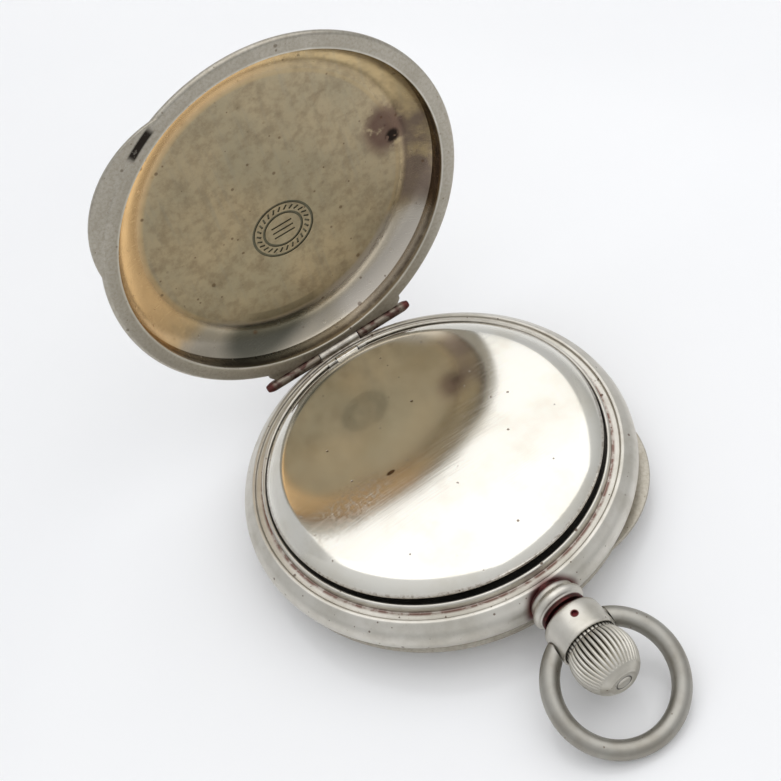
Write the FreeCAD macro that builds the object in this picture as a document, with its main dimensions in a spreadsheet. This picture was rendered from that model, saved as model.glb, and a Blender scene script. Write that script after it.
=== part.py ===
import FreeCAD, Part
import math
import os
import re

import Sketcher
from FreeCAD import Placement, Rotation, Vector

# A hunter pocket watch lying on its closed front cover, its back cover open at the stop and its
# dust cover a little ajar. Millimetres. The origin is the centre of the front cover's outer flat,
# +Z is up through the movement to the back, the pendant points along -Y and the hinges are at +Y.

SIZES = {
    # Case: heights of the two rim planes, and the turned band between them
    "front_rim": 4.4,
    "back_rim": 10.4,
    "band_edge": 27.7,
    "band_bulge": 2.75,
    "neck_outer": 25.25,
    "neck_inner": 24.62,
    "bead_top": 11.1,
    "cuvette_seat": 10.45,
    "movement_bore": 22.2,
    "movement_ledge": 21.4,
    "ledge_top": 7.5,
    # Covers: both are pressed from the same sheet, the back one deeper
    "cover_radius": 27.8,
    "cover_opening": 25.4,
    "cover_flat": 20.5,
    "cover_sheet": 0.6,
    "cove_radius": 5.2,
    "back_depth": 5.0,
    "front_depth": 4.4,
    "back_open_angle": 92,
    "lip_radius": 16.54,
    "lip_offset": 13.56,
    "lip_thick": 0.65,
    "lip_azimuth": 220,
    # Case hinges: the axis stands just outside each rim plane
    "hinge_y": 27.4,
    "hinge_rise": 0.1,
    "knuckle": 0.8,
    "hinge_half": 13.0,
    "middle_half": 3.45,
    "hinge_gap": 0.1,
    "hinge_pin": 0.33,
    # Dust cover, the cuvette
    "cuvette_radius": 24.45,
    "cuvette_top": 13.8,
    "cuvette_sheet": 0.45,
    "cuvette_flange": 0.7,
    "cap_radius": 200,
    "cap_edge": 21.2,
    "roll_radius": 4.6,
    "cuvette_hinge_y": 24.55,
    "cuvette_hinge_z": 11.04,
    "cuvette_knuckle": 0.5,
    "cuvette_pin": 0.2,
    "cuvette_ajar": 2,
    # Pendant, crown and bow, measured outwards from the watch's centre
    "stem_z": 8.2,
    "stem_radius": 0.6,
    "stem_bore": 0.74,
    "collar_at": 30.0,
    "collar_radius": 3.85,
    "sleeve_start": 32.3,
    "sleeve_end": 36.9,
    "sleeve_radius": 4.2,
    "sleeve_mouth": 3.85,
    "crown_start": 37.4,
    "crown_end": 44.0,
    "crown_radius": 4.15,
    "crown_flutes": 38,
    "flute_depth": 0.34,
    "bow_pivot": 34.5,
    "bow_centre": 7.95,
    "bow_radius": 8.5,
    "bow_wire": 1.35,
    "bow_peg": 0.8,
    "bow_gap": 0.1,
    "peg_start": 3.3,
    "bow_droop": 24.5,
    # Movement levels
    "dial_bottom": 5.2,
    "plate_bottom": 5.6,
    "plate_top": 7.5,
    "bridge_bottom": 9.6,
    "bridge_top": 10.3,
    "plate_radius": 21.3,
    "flange_radius": 22.1,
    # Going train: modules, tooth counts and places
    "barrel_module": 0.22,
    "barrel_teeth": 84,
    "centre_leaves": 12,
    "centre_module": 0.165,
    "centre_teeth": 80,
    "third_leaves": 10,
    "third_module": 0.16,
    "third_teeth": 75,
    "fourth_leaves": 10,
    "fourth_module": 0.115,
    "fourth_teeth": 80,
    "escape_leaves": 8,
    "barrel_azimuth": 215,
    "fourth_x": 11.5,
    "escape_azimuth": -50,
    "escape_radius": 2.9,
    "escape_teeth": 15,
    "balance_x": 9.6,
    "balance_y": -9.9,
    "balance_radius": 5.0,
    # Winding work
    "winding_module": 0.3,
    "crown_wheel_teeth": 30,
    "ratchet_teeth": 49,
    "winding_leaves": 14,
    "winding_tip": 2.05,
    # Motion work under the dial
    "motion_module": 0.2,
    "cannon_leaves": 12,
    "minute_teeth": 36,
    "minute_leaves": 10,
    "hour_teeth": 40,
}

UPRIGHT = Rotation()
ALONG_X = Rotation(Vector(0, 1, 0), 90)
OUTWARDS = Rotation(Vector(1, 0, 0), 90)
UPSIDE_DOWN = Rotation(Vector(0, 1, 0), 180)
ORIGIN = ("0", "0", "0")

doc = FreeCAD.newDocument("hunter_watch")
sheet = doc.addObject("Spreadsheet::Sheet", "Sizes")
for row, (alias, value) in enumerate(SIZES.items(), 1):
    sheet.set(f"A{row}", alias)
    sheet.set(f"B{row}", str(value))
    sheet.setAlias(f"B{row}", alias)
doc.recompute()

nodes = {}


# --- reading sizes and binding features to them -------------------------------------------------


def size(formula):
    """The number that a formula of sheet names comes to."""
    result = sheet.evalExpression(str(formula))
    return float(getattr(result, "Value", result))


def uses_sheet(formula):
    return any(word in SIZES for word in re.findall(r"[a-z_]\w*", formula))


def bound(formula):
    """The same formula as a document expression."""
    return re.sub(r"[a-z_]\w*", lambda m: "Sizes." + m.group() if m.group() in SIZES else m.group(),
                  formula)


def bind(piece, path, formula):
    if uses_sheet(formula):
        piece.setExpression(path, bound(formula))


def place(piece, at=ORIGIN, turn=UPRIGHT):
    piece.Placement = Placement(Vector(*[size(value) for value in at]), turn)
    for axis, formula in zip("xyz", at):
        bind(piece, "Placement.Base." + axis, formula)
    return piece


def keep(piece, name):
    """Names a finished sub-part."""
    piece.Label = name
    nodes[name] = piece
    return piece


# --- sketches -----------------------------------------------------------------------------------


def sketch_on(body, role, name):
    plane = [feature for feature in body.Origin.OriginFeatures if feature.Role == role][0]
    sketch = body.newObject("Sketcher::SketchObject", name)
    sketch.AttachmentSupport = [(plane, "")]
    sketch.MapMode = "FlatFace"
    return sketch


def constrain(sketch, kind, where, formula):
    number = sketch.addConstraint(Sketcher.Constraint(kind, *where, size(formula)))
    bind(sketch, f"Constraints[{number}]", formula)


def add_arc(sketch, start, end, radius, side):
    """An arc with its centre to the left (side 1) or right (side -1) of the way from start to end."""
    half = (end - start) * 0.5
    across = Vector(-half.y, half.x, 0).normalize()
    centre = start + half + across * side * math.sqrt(max(radius**2 - half.Length**2, 0))
    first, last = (start, end) if side > 0 else (end, start)
    angle_one = math.atan2(first.y - centre.y, first.x - centre.x)
    angle_two = math.atan2(last.y - centre.y, last.x - centre.x)
    if angle_two < angle_one:
        angle_two += 2 * math.pi
    circle = Part.Circle(centre, Vector(0, 0, 1), radius)
    sketch.addGeometry(Part.ArcOfCircle(circle, angle_one, angle_two), False)
    return (1, 2) if side > 0 else (2, 1)


def outline(sketch, corners):
    """A closed loop of (x, y) corners; a corner (x, y, radius, side) starts an arc to the next."""
    first = len(sketch.Geometry)
    points = [Vector(size(corner[0]), size(corner[1]), 0) for corner in corners]
    ends = []
    for index, corner in enumerate(corners):
        start, end = points[index], points[(index + 1) % len(points)]
        if len(corner) == 2:
            sketch.addGeometry(Part.LineSegment(start, end), False)
            ends.append((1, 2))
        else:
            ends.append(add_arc(sketch, start, end, size(corner[2]), corner[3]))
    for index in range(len(corners)):
        follower = (index + 1) % len(corners)
        joint = (first + index, ends[index][1], first + follower, ends[follower][0])
        sketch.addConstraint(Sketcher.Constraint("Coincident", *joint))
    for index, corner in enumerate(corners):
        here = (-1, 1, first + index, ends[index][0])
        constrain(sketch, "DistanceX", here, corner[0])
        constrain(sketch, "DistanceY", here, corner[1])
        if len(corner) > 2:
            constrain(sketch, "Radius", (first + index,), corner[2])


# --- solids -------------------------------------------------------------------------------------


def turned(name, corners, at=ORIGIN, turn=UPRIGHT):
    """A body turned on the lathe: a profile of (radius, height) corners about its own Z."""
    body = doc.addObject("PartDesign::Body", name)
    sketch = sketch_on(body, "XZ_Plane", name + "_profile")
    outline(sketch, corners)
    revolution = body.newObject("PartDesign::Revolution", name + "_turning")
    revolution.Profile = sketch
    revolution.ReferenceAxis = (sketch, ["V_Axis"])
    revolution.Angle = 360
    return place(body, at, turn)


def cylinder(name, radius, height, at=ORIGIN, turn=UPRIGHT):
    piece = doc.addObject("Part::Cylinder", name)
    piece.Radius = size(radius)
    piece.Height = size(height)
    bind(piece, "Radius", radius)
    bind(piece, "Height", height)
    return place(piece, at, turn)


def cone(name, radius, end_radius, height, at=ORIGIN, turn=UPRIGHT):
    piece = doc.addObject("Part::Cone", name)
    piece.Radius1 = size(radius)
    piece.Radius2 = size(end_radius)
    piece.Height = size(height)
    bind(piece, "Radius1", radius)
    bind(piece, "Radius2", end_radius)
    bind(piece, "Height", height)
    return place(piece, at, turn)


def box(name, length, width, height, at=ORIGIN, turn=UPRIGHT):
    piece = doc.addObject("Part::Box", name)
    piece.Length = size(length)
    piece.Width = size(width)
    piece.Height = size(height)
    bind(piece, "Length", length)
    bind(piece, "Width", width)
    bind(piece, "Height", height)
    return place(piece, at, turn)


def joined(name, *pieces):
    whole = doc.addObject("Part::MultiFuse", name)
    whole.Shapes = list(pieces)
    return whole


def group(name, *pieces):
    """Separate solids that share one node."""
    whole = doc.addObject("Part::Compound", name)
    whole.Links = list(pieces)
    return whole


def cut(name, base, *tools):
    piece = doc.addObject("Part::Cut", name)
    piece.Base = base
    piece.Tool = tools[0] if len(tools) == 1 else joined(name + "_tools", *tools)
    return piece


def common(name, first, second):
    piece = doc.addObject("Part::Common", name)
    piece.Base = first
    piece.Tool = second
    return piece


def made(name, shape, at=ORIGIN, turn=UPRIGHT):
    """A feature whose shape comes from Part's own functions."""
    piece = doc.addObject("Part::Feature", name)
    piece.Shape = shape
    return place(piece, at, turn)


def swing(piece, centre, axis, degrees):
    """Turns a finished piece about a hinge, on top of the place it already has."""
    hinge = Placement(Vector(), Rotation(axis, degrees), centre)
    piece.Placement = hinge.multiply(piece.Placement)
    return piece


# --- case ---------------------------------------------------------------------------------------


def barrel_grooves(name, height, radius):
    """Room in the band for a cover's two hinge barrels, each side of the band's own knuckle."""
    reach = "hinge_half - middle_half + 0.3"
    right = cylinder(name + "_right", radius, reach, ("middle_half - hinge_gap / 2", "hinge_y", height),
                     ALONG_X)
    left = cylinder(name + "_left", radius, reach, ("-hinge_half - 0.25", "hinge_y", height), ALONG_X)
    return [right, left]


def case_band():
    shell = turned("band_shell", [
        ("neck_inner", "front_rim - 0.4"),
        ("neck_outer", "front_rim - 0.4"),
        ("neck_outer", "front_rim + 0.45"),
        ("26.4", "front_rim + 0.45"),
        ("26.55", "front_rim + 0.1"),
        ("27.0", "front_rim + 0.1"),
        ("27.3", "front_rim + 0.4"),
        ("band_edge", "front_rim + 0.8", "band_bulge", 1),
        ("band_edge", "back_rim - 0.8"),
        ("27.3", "back_rim - 0.4"),
        ("27.0", "back_rim - 0.1"),
        ("26.55", "back_rim - 0.1"),
        ("26.4", "back_rim - 0.45"),
        ("neck_outer", "back_rim - 0.45"),
        ("neck_outer", "bead_top", "(neck_outer - neck_inner) / 2 + 0.01", 1),
        ("neck_inner", "bead_top"),
        ("neck_inner", "cuvette_seat"),
        ("22.6", "cuvette_seat"),
        ("22.6", "ledge_top"),
        ("movement_ledge", "ledge_top"),
        ("movement_ledge", "ledge_top - 0.5"),
        ("movement_bore", "ledge_top - 0.5"),
        ("movement_bore", "front_rim + 2.4"),
        ("23.6", "front_rim + 2.4"),
        ("23.6", "front_rim + 0.8"),
        ("movement_bore", "front_rim + 0.8"),
        ("movement_bore", "front_rim + 0.6"),
        ("neck_inner", "front_rim + 0.6"),
    ])
    back_axis, front_axis = "back_rim + hinge_rise", "front_rim - hinge_rise"
    rooms = barrel_grooves("back_groove", back_axis, "knuckle + 0.12")
    rooms += barrel_grooves("front_groove", front_axis, "knuckle + 0.12")
    rooms.append(cylinder("cuvette_room", "cuvette_knuckle + 0.12", "3.9",
                          ("-1.95", "cuvette_hinge_y", "cuvette_hinge_z"), ALONG_X))
    rooms.append(cylinder("stem_hole", "stem_bore", "12", ("0", "-20", "stem_z"), OUTWARDS))
    rooms.append(cylinder("pendant_hole", "1.6", "6", ("0", "-23.5", "stem_z"), OUTWARDS))
    rooms.append(box("catch_slot", "3.6", "4", "2.3", ("-1.8", "-26", "front_rim - 0.45")))
    turning = cut("band_turning", shell, *rooms)
    width = "2 * middle_half"
    knuckles = [
        cylinder("band_back_knuckle", "knuckle", width, ("-middle_half", "hinge_y", back_axis), ALONG_X),
        cylinder("band_front_knuckle", "knuckle", width, ("-middle_half", "hinge_y", front_axis), ALONG_X),
    ]
    for side, start in (("left", "-3.4"), ("right", "2.0")):
        at = (start, "cuvette_hinge_y", "cuvette_hinge_z")
        knuckles.append(cylinder("cuvette_ear_" + side, "cuvette_knuckle", "1.4", at, ALONG_X))
    solid = joined("band_with_knuckles", turning, *knuckles)
    pins = [
        cylinder("back_pin_hole", "hinge_pin", "8", ("-4", "hinge_y", back_axis), ALONG_X),
        cylinder("front_pin_hole", "hinge_pin", "8", ("-4", "hinge_y", front_axis), ALONG_X),
        cylinder("cuvette_pin_hole", "cuvette_pin", "8",
                 ("-4", "cuvette_hinge_y", "cuvette_hinge_z"), ALONG_X),
    ]
    keep(cut("case_band", solid, *pins), "case_band")


def cover(name, depth):
    """A cover in its own frame: rim plane at z = 0, dish rising to depth, hinge barrel along X at +Y."""
    dish = turned(name + "_dish", [
        ("cover_opening", "0"),
        ("cover_radius - 0.3", "0"),
        ("cover_radius", "0.3"),
        ("cover_radius", "0.85"),
        ("cover_radius - 0.5", "1.25"),
        ("26.2", f"{depth} - 3.04", "cove_radius + cover_sheet", 1),
        ("cover_flat + 0.1", depth),
        ("0", depth),
        ("0", f"{depth} - cover_sheet"),
        ("cover_flat", f"{depth} - cover_sheet", "cove_radius", -1),
        ("cover_opening - 0.1", f"{depth} - 2.5"),
    ])
    beyond = box(name + "_beyond_axis", "60", "5", "8", ("-30", "hinge_y", "-2"))
    slot_half = "middle_half + hinge_gap"
    slot = box(name + "_slot", f"2 * ({slot_half})", "6", "4",
               (f"-({slot_half})", "hinge_y - knuckle - 0.15", "-1.2"))
    webs, barrels = [], []
    taper, inside_band = "0.9", "26.3"
    for side, start, tip in (("left", "-hinge_half", "-hinge_half"), ("right", slot_half, "hinge_half")):
        length = "hinge_half - middle_half - hinge_gap"
        webs.append(box(f"{name}_web_{side}", length, "3.2", "1.1", (start, "hinge_y - 3.2", "0")))
        straight = f"{length} - {taper}"
        outer = start if side == "right" else f"{start} + {taper}"
        barrels.append(cylinder(f"{name}_barrel_{side}", "knuckle", straight,
                                (outer, "hinge_y", "hinge_rise"), ALONG_X))
        point = Rotation(Vector(0, 1, 0), 90 if side == "right" else -90)
        base = f"{tip} - {taper}" if side == "right" else f"{tip} + {taper}"
        barrels.append(cone(f"{name}_end_{side}", "knuckle", "0.5", taper,
                            (base, "hinge_y", "hinge_rise"), point))
    inside = cylinder(name + "_web_limit", inside_band, "3", ("0", "0", "-1"))
    web = cut(name + "_webs", joined(name + "_web_blanks", *webs), inside)
    trimmed = cut(name + "_trimmed", dish, beyond, slot)
    azimuth = math.radians(size("lip_azimuth"))
    lip_at = (f"lip_offset * {math.cos(azimuth)}", f"lip_offset * {math.sin(azimuth)}", "0")
    lip = cut(name + "_lip", cylinder(name + "_lip_disc", "lip_radius", "lip_thick", lip_at),
              cylinder(name + "_lip_limit", inside_band, "3", ("0", "0", "-1")))
    bore = cylinder(name + "_pin_room", "hinge_pin + 0.05", "2 * hinge_half - 1",
                    ("-hinge_half + 0.5", "hinge_y", "hinge_rise"), ALONG_X)
    return cut(name, joined(name + "_blank", trimmed, web, lip, *barrels), bore)


def covers():
    back = keep(cover("back_cover", "back_depth"), "back_cover")
    back.Placement = Placement(Vector(0, 0, size("back_rim")), UPRIGHT)
    axis = Vector(0, size("hinge_y"), size("back_rim + hinge_rise"))
    swing(back, axis, Vector(-1, 0, 0), size("back_open_angle"))
    front = keep(cover("front_cover", "front_depth"), "front_cover")
    place(front, ("0", "0", "front_rim"), UPSIDE_DOWN)
    length, start = "2 * hinge_half - 1.2", "-hinge_half + 0.6"
    for name, height in (("back_hinge_pin", "back_rim + hinge_rise"),
                         ("front_hinge_pin", "front_rim - hinge_rise")):
        keep(cylinder(name, "hinge_pin", length, (start, "hinge_y", height), ALONG_X), name)


def cuvette():
    """The dust cover: a shallow cap whose edge rolls down to a flat rim."""
    bore = "22.9"
    lean = "(cap_edge / cap_radius)"
    upright = f"sqrt(1 - {lean} ^ 2)"
    cap_z = "(cuvette_top - cap_radius + sqrt(cap_radius ^ 2 - cap_edge ^ 2))"
    centre_r, centre_z = f"(cap_edge - roll_radius * {lean})", f"({cap_z} - roll_radius * {upright})"
    foot_z = "(cuvette_seat + cuvette_flange)"
    foot_r = f"{centre_r} + sqrt(roll_radius ^ 2 - ({foot_z} - {centre_z}) ^ 2)"
    under = "(roll_radius - cuvette_sheet)"
    shell = turned("cuvette_shell", [
        (bore, "cuvette_seat + 0.05"),
        ("cuvette_radius - 0.15", "cuvette_seat + 0.05"),
        ("cuvette_radius", "cuvette_seat + 0.2"),
        ("cuvette_radius", f"{foot_z} - 0.15"),
        (foot_r, foot_z, "roll_radius", 1),
        ("cap_edge", cap_z, "cap_radius", 1),
        ("0", "cuvette_top"),
        ("0", "cuvette_top - cuvette_sheet", "cap_radius - cuvette_sheet", -1),
        (f"{centre_r} + {under} * {lean}", f"{centre_z} + {under} * {upright}", under, -1),
        (bore, f"{centre_z} + sqrt({under} ^ 2 - ({bore} - {centre_r}) ^ 2)"),
    ])
    hinge = ("cuvette_hinge_y", "cuvette_hinge_z")
    rooms = [cylinder("ear_room_" + side, "cuvette_knuckle + 0.1", "2.1", (start,) + hinge, ALONG_X)
             for side, start in (("left", "-4"), ("right", "1.9"))]
    middle = cylinder("cuvette_middle", "cuvette_knuckle", "3.6", ("-1.8",) + hinge, ALONG_X)
    blank = joined("cuvette_blank", cut("cuvette_trimmed", shell, *rooms), middle)
    bore = cylinder("cuvette_bore", "cuvette_pin + 0.03", "5", ("-2.5",) + hinge, ALONG_X)
    lid = keep(cut("cuvette", blank, bore), "cuvette")
    swing(lid, Vector(0, size(hinge[0]), size(hinge[1])), Vector(-1, 0, 0), size("cuvette_ajar"))
    keep(cylinder("cuvette_hinge_pin", "cuvette_pin", "6.6", ("-3.3",) + hinge, ALONG_X),
         "cuvette_hinge_pin")


def glazing():
    ring = turned("bezel_ring", [
        ("neck_outer + 0.05", "front_rim - 0.45"),
        ("neck_inner - 0.05", "front_rim - 0.45"),
        ("neck_inner - 0.05", "front_rim + 0.3"),
        ("23.4", "front_rim + 0.3"),
        ("23.4", "front_rim - 0.5"),
        ("23.2", "front_rim - 0.5"),
        ("23.2", "front_rim - 1.15"),
        ("22.6", "front_rim - 1.15"),
        ("22.6", "front_rim - 1.45"),
        ("24.1", "front_rim - 1.45"),
        ("neck_outer + 0.05", "front_rim - 0.9"),
    ])
    notch = box("bezel_notch", "4.2", "2", "1.5", ("-2.1", "-25.2", "front_rim - 0.4"))
    keep(cut("bezel", ring, notch), "bezel")
    keep(turned("crystal", [
        ("23.18", "front_rim - 1.13"),
        ("23.18", "front_rim - 0.55"),
        ("22.5", "front_rim - 0.55", "134", -1),
        ("0", "front_rim - 2.45"),
        ("0", "front_rim - 3.1", "130", 1),
        ("22.5", "front_rim - 1.13"),
    ]), "crystal")


def along_pendant(name, corners):
    """A piece turned about the pendant's axis, from (radius, distance out) corners."""
    return turned(name, corners, ("0", "0", "stem_z"), OUTWARDS)


def pendant():
    blank = along_pendant("pendant_turning", [
        ("stem_bore", "23.5"),
        ("1.6", "23.5"),
        ("1.6", "26.6"),
        ("2.05", "26.6"),
        ("2.05", "27.75"),
        ("3.3", "28.1"),
        ("3.3", "28.9", "0.5", -1),
        ("3.5", "29.3", "0.78", 1),
        ("3.5", "30.6", "0.5", -1),
        ("3.2", "31.0"),
        ("3.3", "31.15"),
        ("3.3", "31.5"),
        ("2.7", "31.65"),
        ("2.7", "sleeve_start"),
        ("stem_bore", "sleeve_start"),
    ])
    band = turned("band_limit", [
        ("0", "front_rim + 0.1"),
        ("27.0", "front_rim + 0.1"),
        ("27.3", "front_rim + 0.4"),
        ("band_edge", "front_rim + 0.8", "band_bulge", 1),
        ("band_edge", "back_rim - 0.8"),
        ("27.3", "back_rim - 0.4"),
        ("27.0", "back_rim - 0.1"),
        ("0", "back_rim - 0.1"),
    ])
    spigot = cylinder("spigot_room", "1.6", "6", ("0", "-23.5", "stem_z"), OUTWARDS)
    keep(cut("pendant_neck", blank, cut("band_saddle", band, spigot)), "pendant_neck")
    sleeve = along_pendant("sleeve_turning", [
        ("stem_bore", "sleeve_start"),
        ("sleeve_radius - 0.5", "sleeve_start"),
        ("sleeve_radius - 0.1", "sleeve_start + 0.3"),
        ("sleeve_radius", "sleeve_start + 0.8"),
        ("sleeve_radius", "sleeve_end - 0.35"),
        ("sleeve_radius - 0.15", "sleeve_end"),
        ("sleeve_mouth", "sleeve_end"),
        ("sleeve_mouth", "sleeve_end - 1.3"),
        ("stem_bore", "sleeve_end - 1.3"),
    ])
    left = ("-sleeve_radius - 1", "-bow_pivot", "stem_z")
    right = ("3.1", "-bow_pivot", "stem_z")
    tools = [
        cylinder("left_socket", "bow_peg + 0.08", "2.1", left, ALONG_X),
        cylinder("right_socket", "bow_peg + 0.08", "2.1", right, ALONG_X),
        cylinder("screw_hole", "0.4", "3", ("0", "-34.3", "stem_z + 2.6")),
    ]
    keep(cut("pendant_sleeve", sleeve, *tools), "pendant_sleeve")
    keep(cylinder("pendant_screw", "0.4", "1.1", ("0", "-34.3", "stem_z + 2.7")), "pendant_screw")


def crown():
    """The winding crown: a smooth core with a skirt that enters the sleeve, and a fluted grip."""
    core = along_pendant("crown_core", [
        ("stem_radius", "36.2"),
        ("sleeve_mouth - 0.12", "36.2"),
        ("sleeve_mouth - 0.12", "crown_start + 0.3"),
        ("3.3", "crown_end - 1.4"),
        ("2.2", "crown_end - 0.3"),
        ("2.05", "crown_end - 0.1"),
        ("2.0", "crown_end"),
        ("0", "crown_end"),
        ("0", "crown_end - 2"),
        ("stem_radius", "crown_end - 2"),
    ])
    grip = along_pendant("crown_grip", [
        ("sleeve_mouth - 0.4", "crown_start + 0.1"),
        ("sleeve_mouth - 0.1", "crown_start"),
        ("crown_radius - 0.15", "crown_start + 0.4", "5.2", 1),
        ("3.5", "crown_end - 1.3", "2.6", 1),
        ("2.45", "crown_end - 0.35"),
        ("2.1", "crown_end - 0.55"),
        ("2.8", "crown_start + 1"),
    ])
    count, outer = int(size("crown_flutes")), size("crown_radius") + 0.3
    root = size("crown_radius - flute_depth")
    corners = []
    for flute in range(count):
        for share, radius in ((0, root), (0.22, root + 0.16), (0.36, outer), (0.64, outer),
                              (0.78, root + 0.16)):
            angle = 2 * math.pi * (flute + share) / count
            corners.append(Vector(radius * math.cos(angle), radius * math.sin(angle), 0))
    grip_length = Vector(0, 0, size("crown_end - crown_start"))
    bar = Part.Face(Part.makePolygon(corners + corners[:1])).extrude(grip_length)
    fluted = made("fluted_bar", bar, ("0", "-crown_start", "stem_z"), OUTWARDS)
    keep(joined("crown", core, common("crown_flutes", grip, fluted)), "crown")
    keep(cylinder("winding_stem", "stem_radius", "crown_end - 2 - 17.2", ("0", "-17.2", "stem_z"),
                  OUTWARDS),
         "winding_stem")


def bow():
    """A ring of round wire, cut off flat beside the sleeve, with pegs on the pendant's cross axis."""
    centre, wire, peg_start = size("bow_centre"), size("bow_wire"), size("peg_start")
    flat = size("sleeve_radius + bow_gap")
    ring = Part.makeTorus(size("bow_radius"), wire, Vector(0, 0, centre), Vector(0, 1, 0))
    room = Part.makeBox(2 * flat, 4 * wire, centre, Vector(-flat, -2 * wire, -centre / 2))
    solid = ring.cut(room)
    for sign in (-1, 1):
        length = flat + 0.2 - peg_start
        peg = Part.makeCylinder(size("bow_peg"), length, Vector(sign * peg_start, 0, 0), Vector(sign, 0, 0))
        solid = solid.fuse(peg)
    droop = Rotation(Vector(1, 0, 0), 90 + size("bow_droop"))
    keep(made("bow", solid.removeSplitter(), ("0", "-bow_pivot", "stem_z"), droop), "bow")


def arc_strip(inner, outer, first, last, height):
    """A flat curved strip between two azimuths in degrees."""
    a, b, c = (math.radians(value) for value in (first, (first + last) / 2, last))

    def at(radius, angle):
        return Vector(radius * math.cos(angle), radius * math.sin(angle), 0)

    edges = [
        Part.Arc(at(outer, a), at(outer, b), at(outer, c)).toShape(),
        Part.LineSegment(at(outer, c), at(inner, c)).toShape(),
        Part.Arc(at(inner, c), at(inner, b), at(inner, a)).toShape(),
        Part.LineSegment(at(inner, a), at(outer, a)).toShape(),
    ]
    return Part.Face(Part.Wire(edges)).extrude(Vector(0, 0, height))


def case_springs():
    """The lift spring by the hinge and the lock spring under the pendant, both in the band's groove."""
    level = ("0", "0", "front_rim + 1.1")
    tall = 1.1
    lift = arc_strip(22.5, 23.1, 28, 84, tall).fuse(arc_strip(22.5, 23.5, 24, 34, tall))
    lift = lift.cut(Part.makeCylinder(0.3, 3, Vector(0, 0, 0.55) + polar(21.9, 29), polar(1, 29)))
    keep(made("lift_spring", lift.removeSplitter(), level), "lift_spring")
    lock = arc_strip(22.7, 23.2, 216, 274, tall).fuse(arc_strip(22.5, 23.4, 212, 220, tall))
    nose = Part.makeBox(2.6, 2.2, 0.4, Vector(-1.3, -25.0, -1.1))
    nose = nose.fuse(Part.makeBox(2.6, 0.7, 1.5, Vector(-1.3, -23.5, -1.1)))
    lock = lock.fuse(nose)
    lock = lock.cut(Part.makeCylinder(0.35, 3, Vector(0, 0, 0.55) + polar(21.9, 216), polar(1, 216)))
    keep(made("lock_spring", lock.removeSplitter(), level), "lock_spring")
    screws = [made(f"spring_screw_{azimuth}",
                   Part.makeCylinder(0.28, 1.3, polar(22.3, azimuth), polar(1, azimuth)),
                   ("0", "0", "front_rim + 1.65")) for azimuth in (29, 216)]
    keep(group("case_spring_screws", *screws), "case_spring_screws")


def polar(radius, degrees, height=0):
    angle = math.radians(degrees)
    return Vector(radius * math.cos(angle), radius * math.sin(angle), height)


# --- wheels -------------------------------------------------------------------------------------


def toothed_face(teeth, module, first):
    """A spur wheel's outline with a tooth centred on the angle first, in radians."""
    pitch = module * teeth / 2
    tip, root = pitch + 0.85 * module, pitch - 1.15 * module
    step = 2 * math.pi / teeth
    corners = []
    for tooth in range(teeth):
        for share, radius in ((-0.31, root), (-0.13, tip), (0.13, tip), (0.31, root)):
            angle = first + (tooth + share) * step
            corners.append(Vector(radius * math.cos(angle), radius * math.sin(angle), 0))
    return Part.Face(Part.makePolygon(corners + corners[:1]))


def mesh_angle(teeth, first, follower_teeth, line):
    """Where a follower's tooth stands so that it meshes with a wheel, line being the way across."""
    share = ((line - first) * teeth / (2 * math.pi)) % 1
    return line + math.pi - (0.5 - share) * 2 * math.pi / follower_teeth


def windows(hub, rim, arms, height):
    """The cut-outs between a wheel's arms."""
    half_arm = 0.28
    pieces = []
    for arm in range(arms):
        start, end = 360 / arms * arm, 360 / arms * (arm + 1)
        trim = math.degrees(half_arm / ((hub + rim) / 2)) * 2
        pieces.append(arc_strip(hub, rim, start + trim, end - trim, height))
    return pieces


def wheel(teeth, module, first, thick, bore, hub=None, arms=5):
    solid = toothed_face(teeth, module, first).extrude(Vector(0, 0, thick))
    tools = [Part.makeCylinder(bore, thick)]
    if hub:
        tools += windows(hub, module * teeth / 2 - 3.4 * module, arms, thick)
    return solid.cut(tools)


def arbor(teeth, module, first, pinion_start, pinion_end, steps):
    """A pinion cut on its arbor; steps are (radius, from, to) heights."""
    solid = toothed_face(teeth, module, first).extrude(Vector(0, 0, pinion_end - pinion_start))
    solid.translate(Vector(0, 0, pinion_start))
    for radius, low, high in steps:
        solid = solid.fuse(Part.makeCylinder(radius, high - low, Vector(0, 0, low)))
    return solid.removeSplitter()


def train_places():
    """Centres of the train's arbors, from the tooth counts and modules."""
    places = {"centre": Vector(0, 0, 0), "fourth": Vector(size("fourth_x"), 0, 0)}
    barrel = size("barrel_module * (barrel_teeth + centre_leaves) / 2")
    places["barrel"] = polar(barrel, size("barrel_azimuth"))
    near = size("centre_module * (centre_teeth + third_leaves) / 2")
    far = size("third_module * (third_teeth + fourth_leaves) / 2")
    across = size("fourth_x")
    x = (near**2 - far**2 + across**2) / (2 * across)
    places["third"] = Vector(x, math.sqrt(near**2 - x**2), 0)
    reach = size("fourth_module * (fourth_teeth + escape_leaves) / 2")
    places["escape"] = places["fourth"] + polar(reach, size("escape_azimuth"))
    places["balance"] = Vector(size("balance_x"), size("balance_y"), 0)
    toward = (places["balance"] - places["escape"]).normalize()
    places["pallet"] = places["escape"] + toward * (size("escape_radius") / math.cos(math.pi / 6) + 0.2)
    winding = size("winding_module * (crown_wheel_teeth + ratchet_teeth) / 2")
    drop = math.sqrt(winding**2 - places["barrel"].x ** 2)
    places["crown_wheel"] = Vector(0, places["barrel"].y - drop, 0)
    return places


def spiral(inner, outer, turns, thick, height):
    """A flat spiral strip, from its inner end on +X outwards, counter-clockwise."""
    per_turn = 28
    near, far = [], []
    for step in range(turns * per_turn + 1):
        share = step / (turns * per_turn)
        radius = inner + (outer - thick - inner) * share
        azimuth = 360 * turns * share
        near.append(polar(radius, azimuth))
        far.append(polar(radius + thick, azimuth))
    corners = far + near[::-1]
    return Part.Face(Part.makePolygon(corners + corners[:1])).extrude(Vector(0, 0, height))


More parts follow.
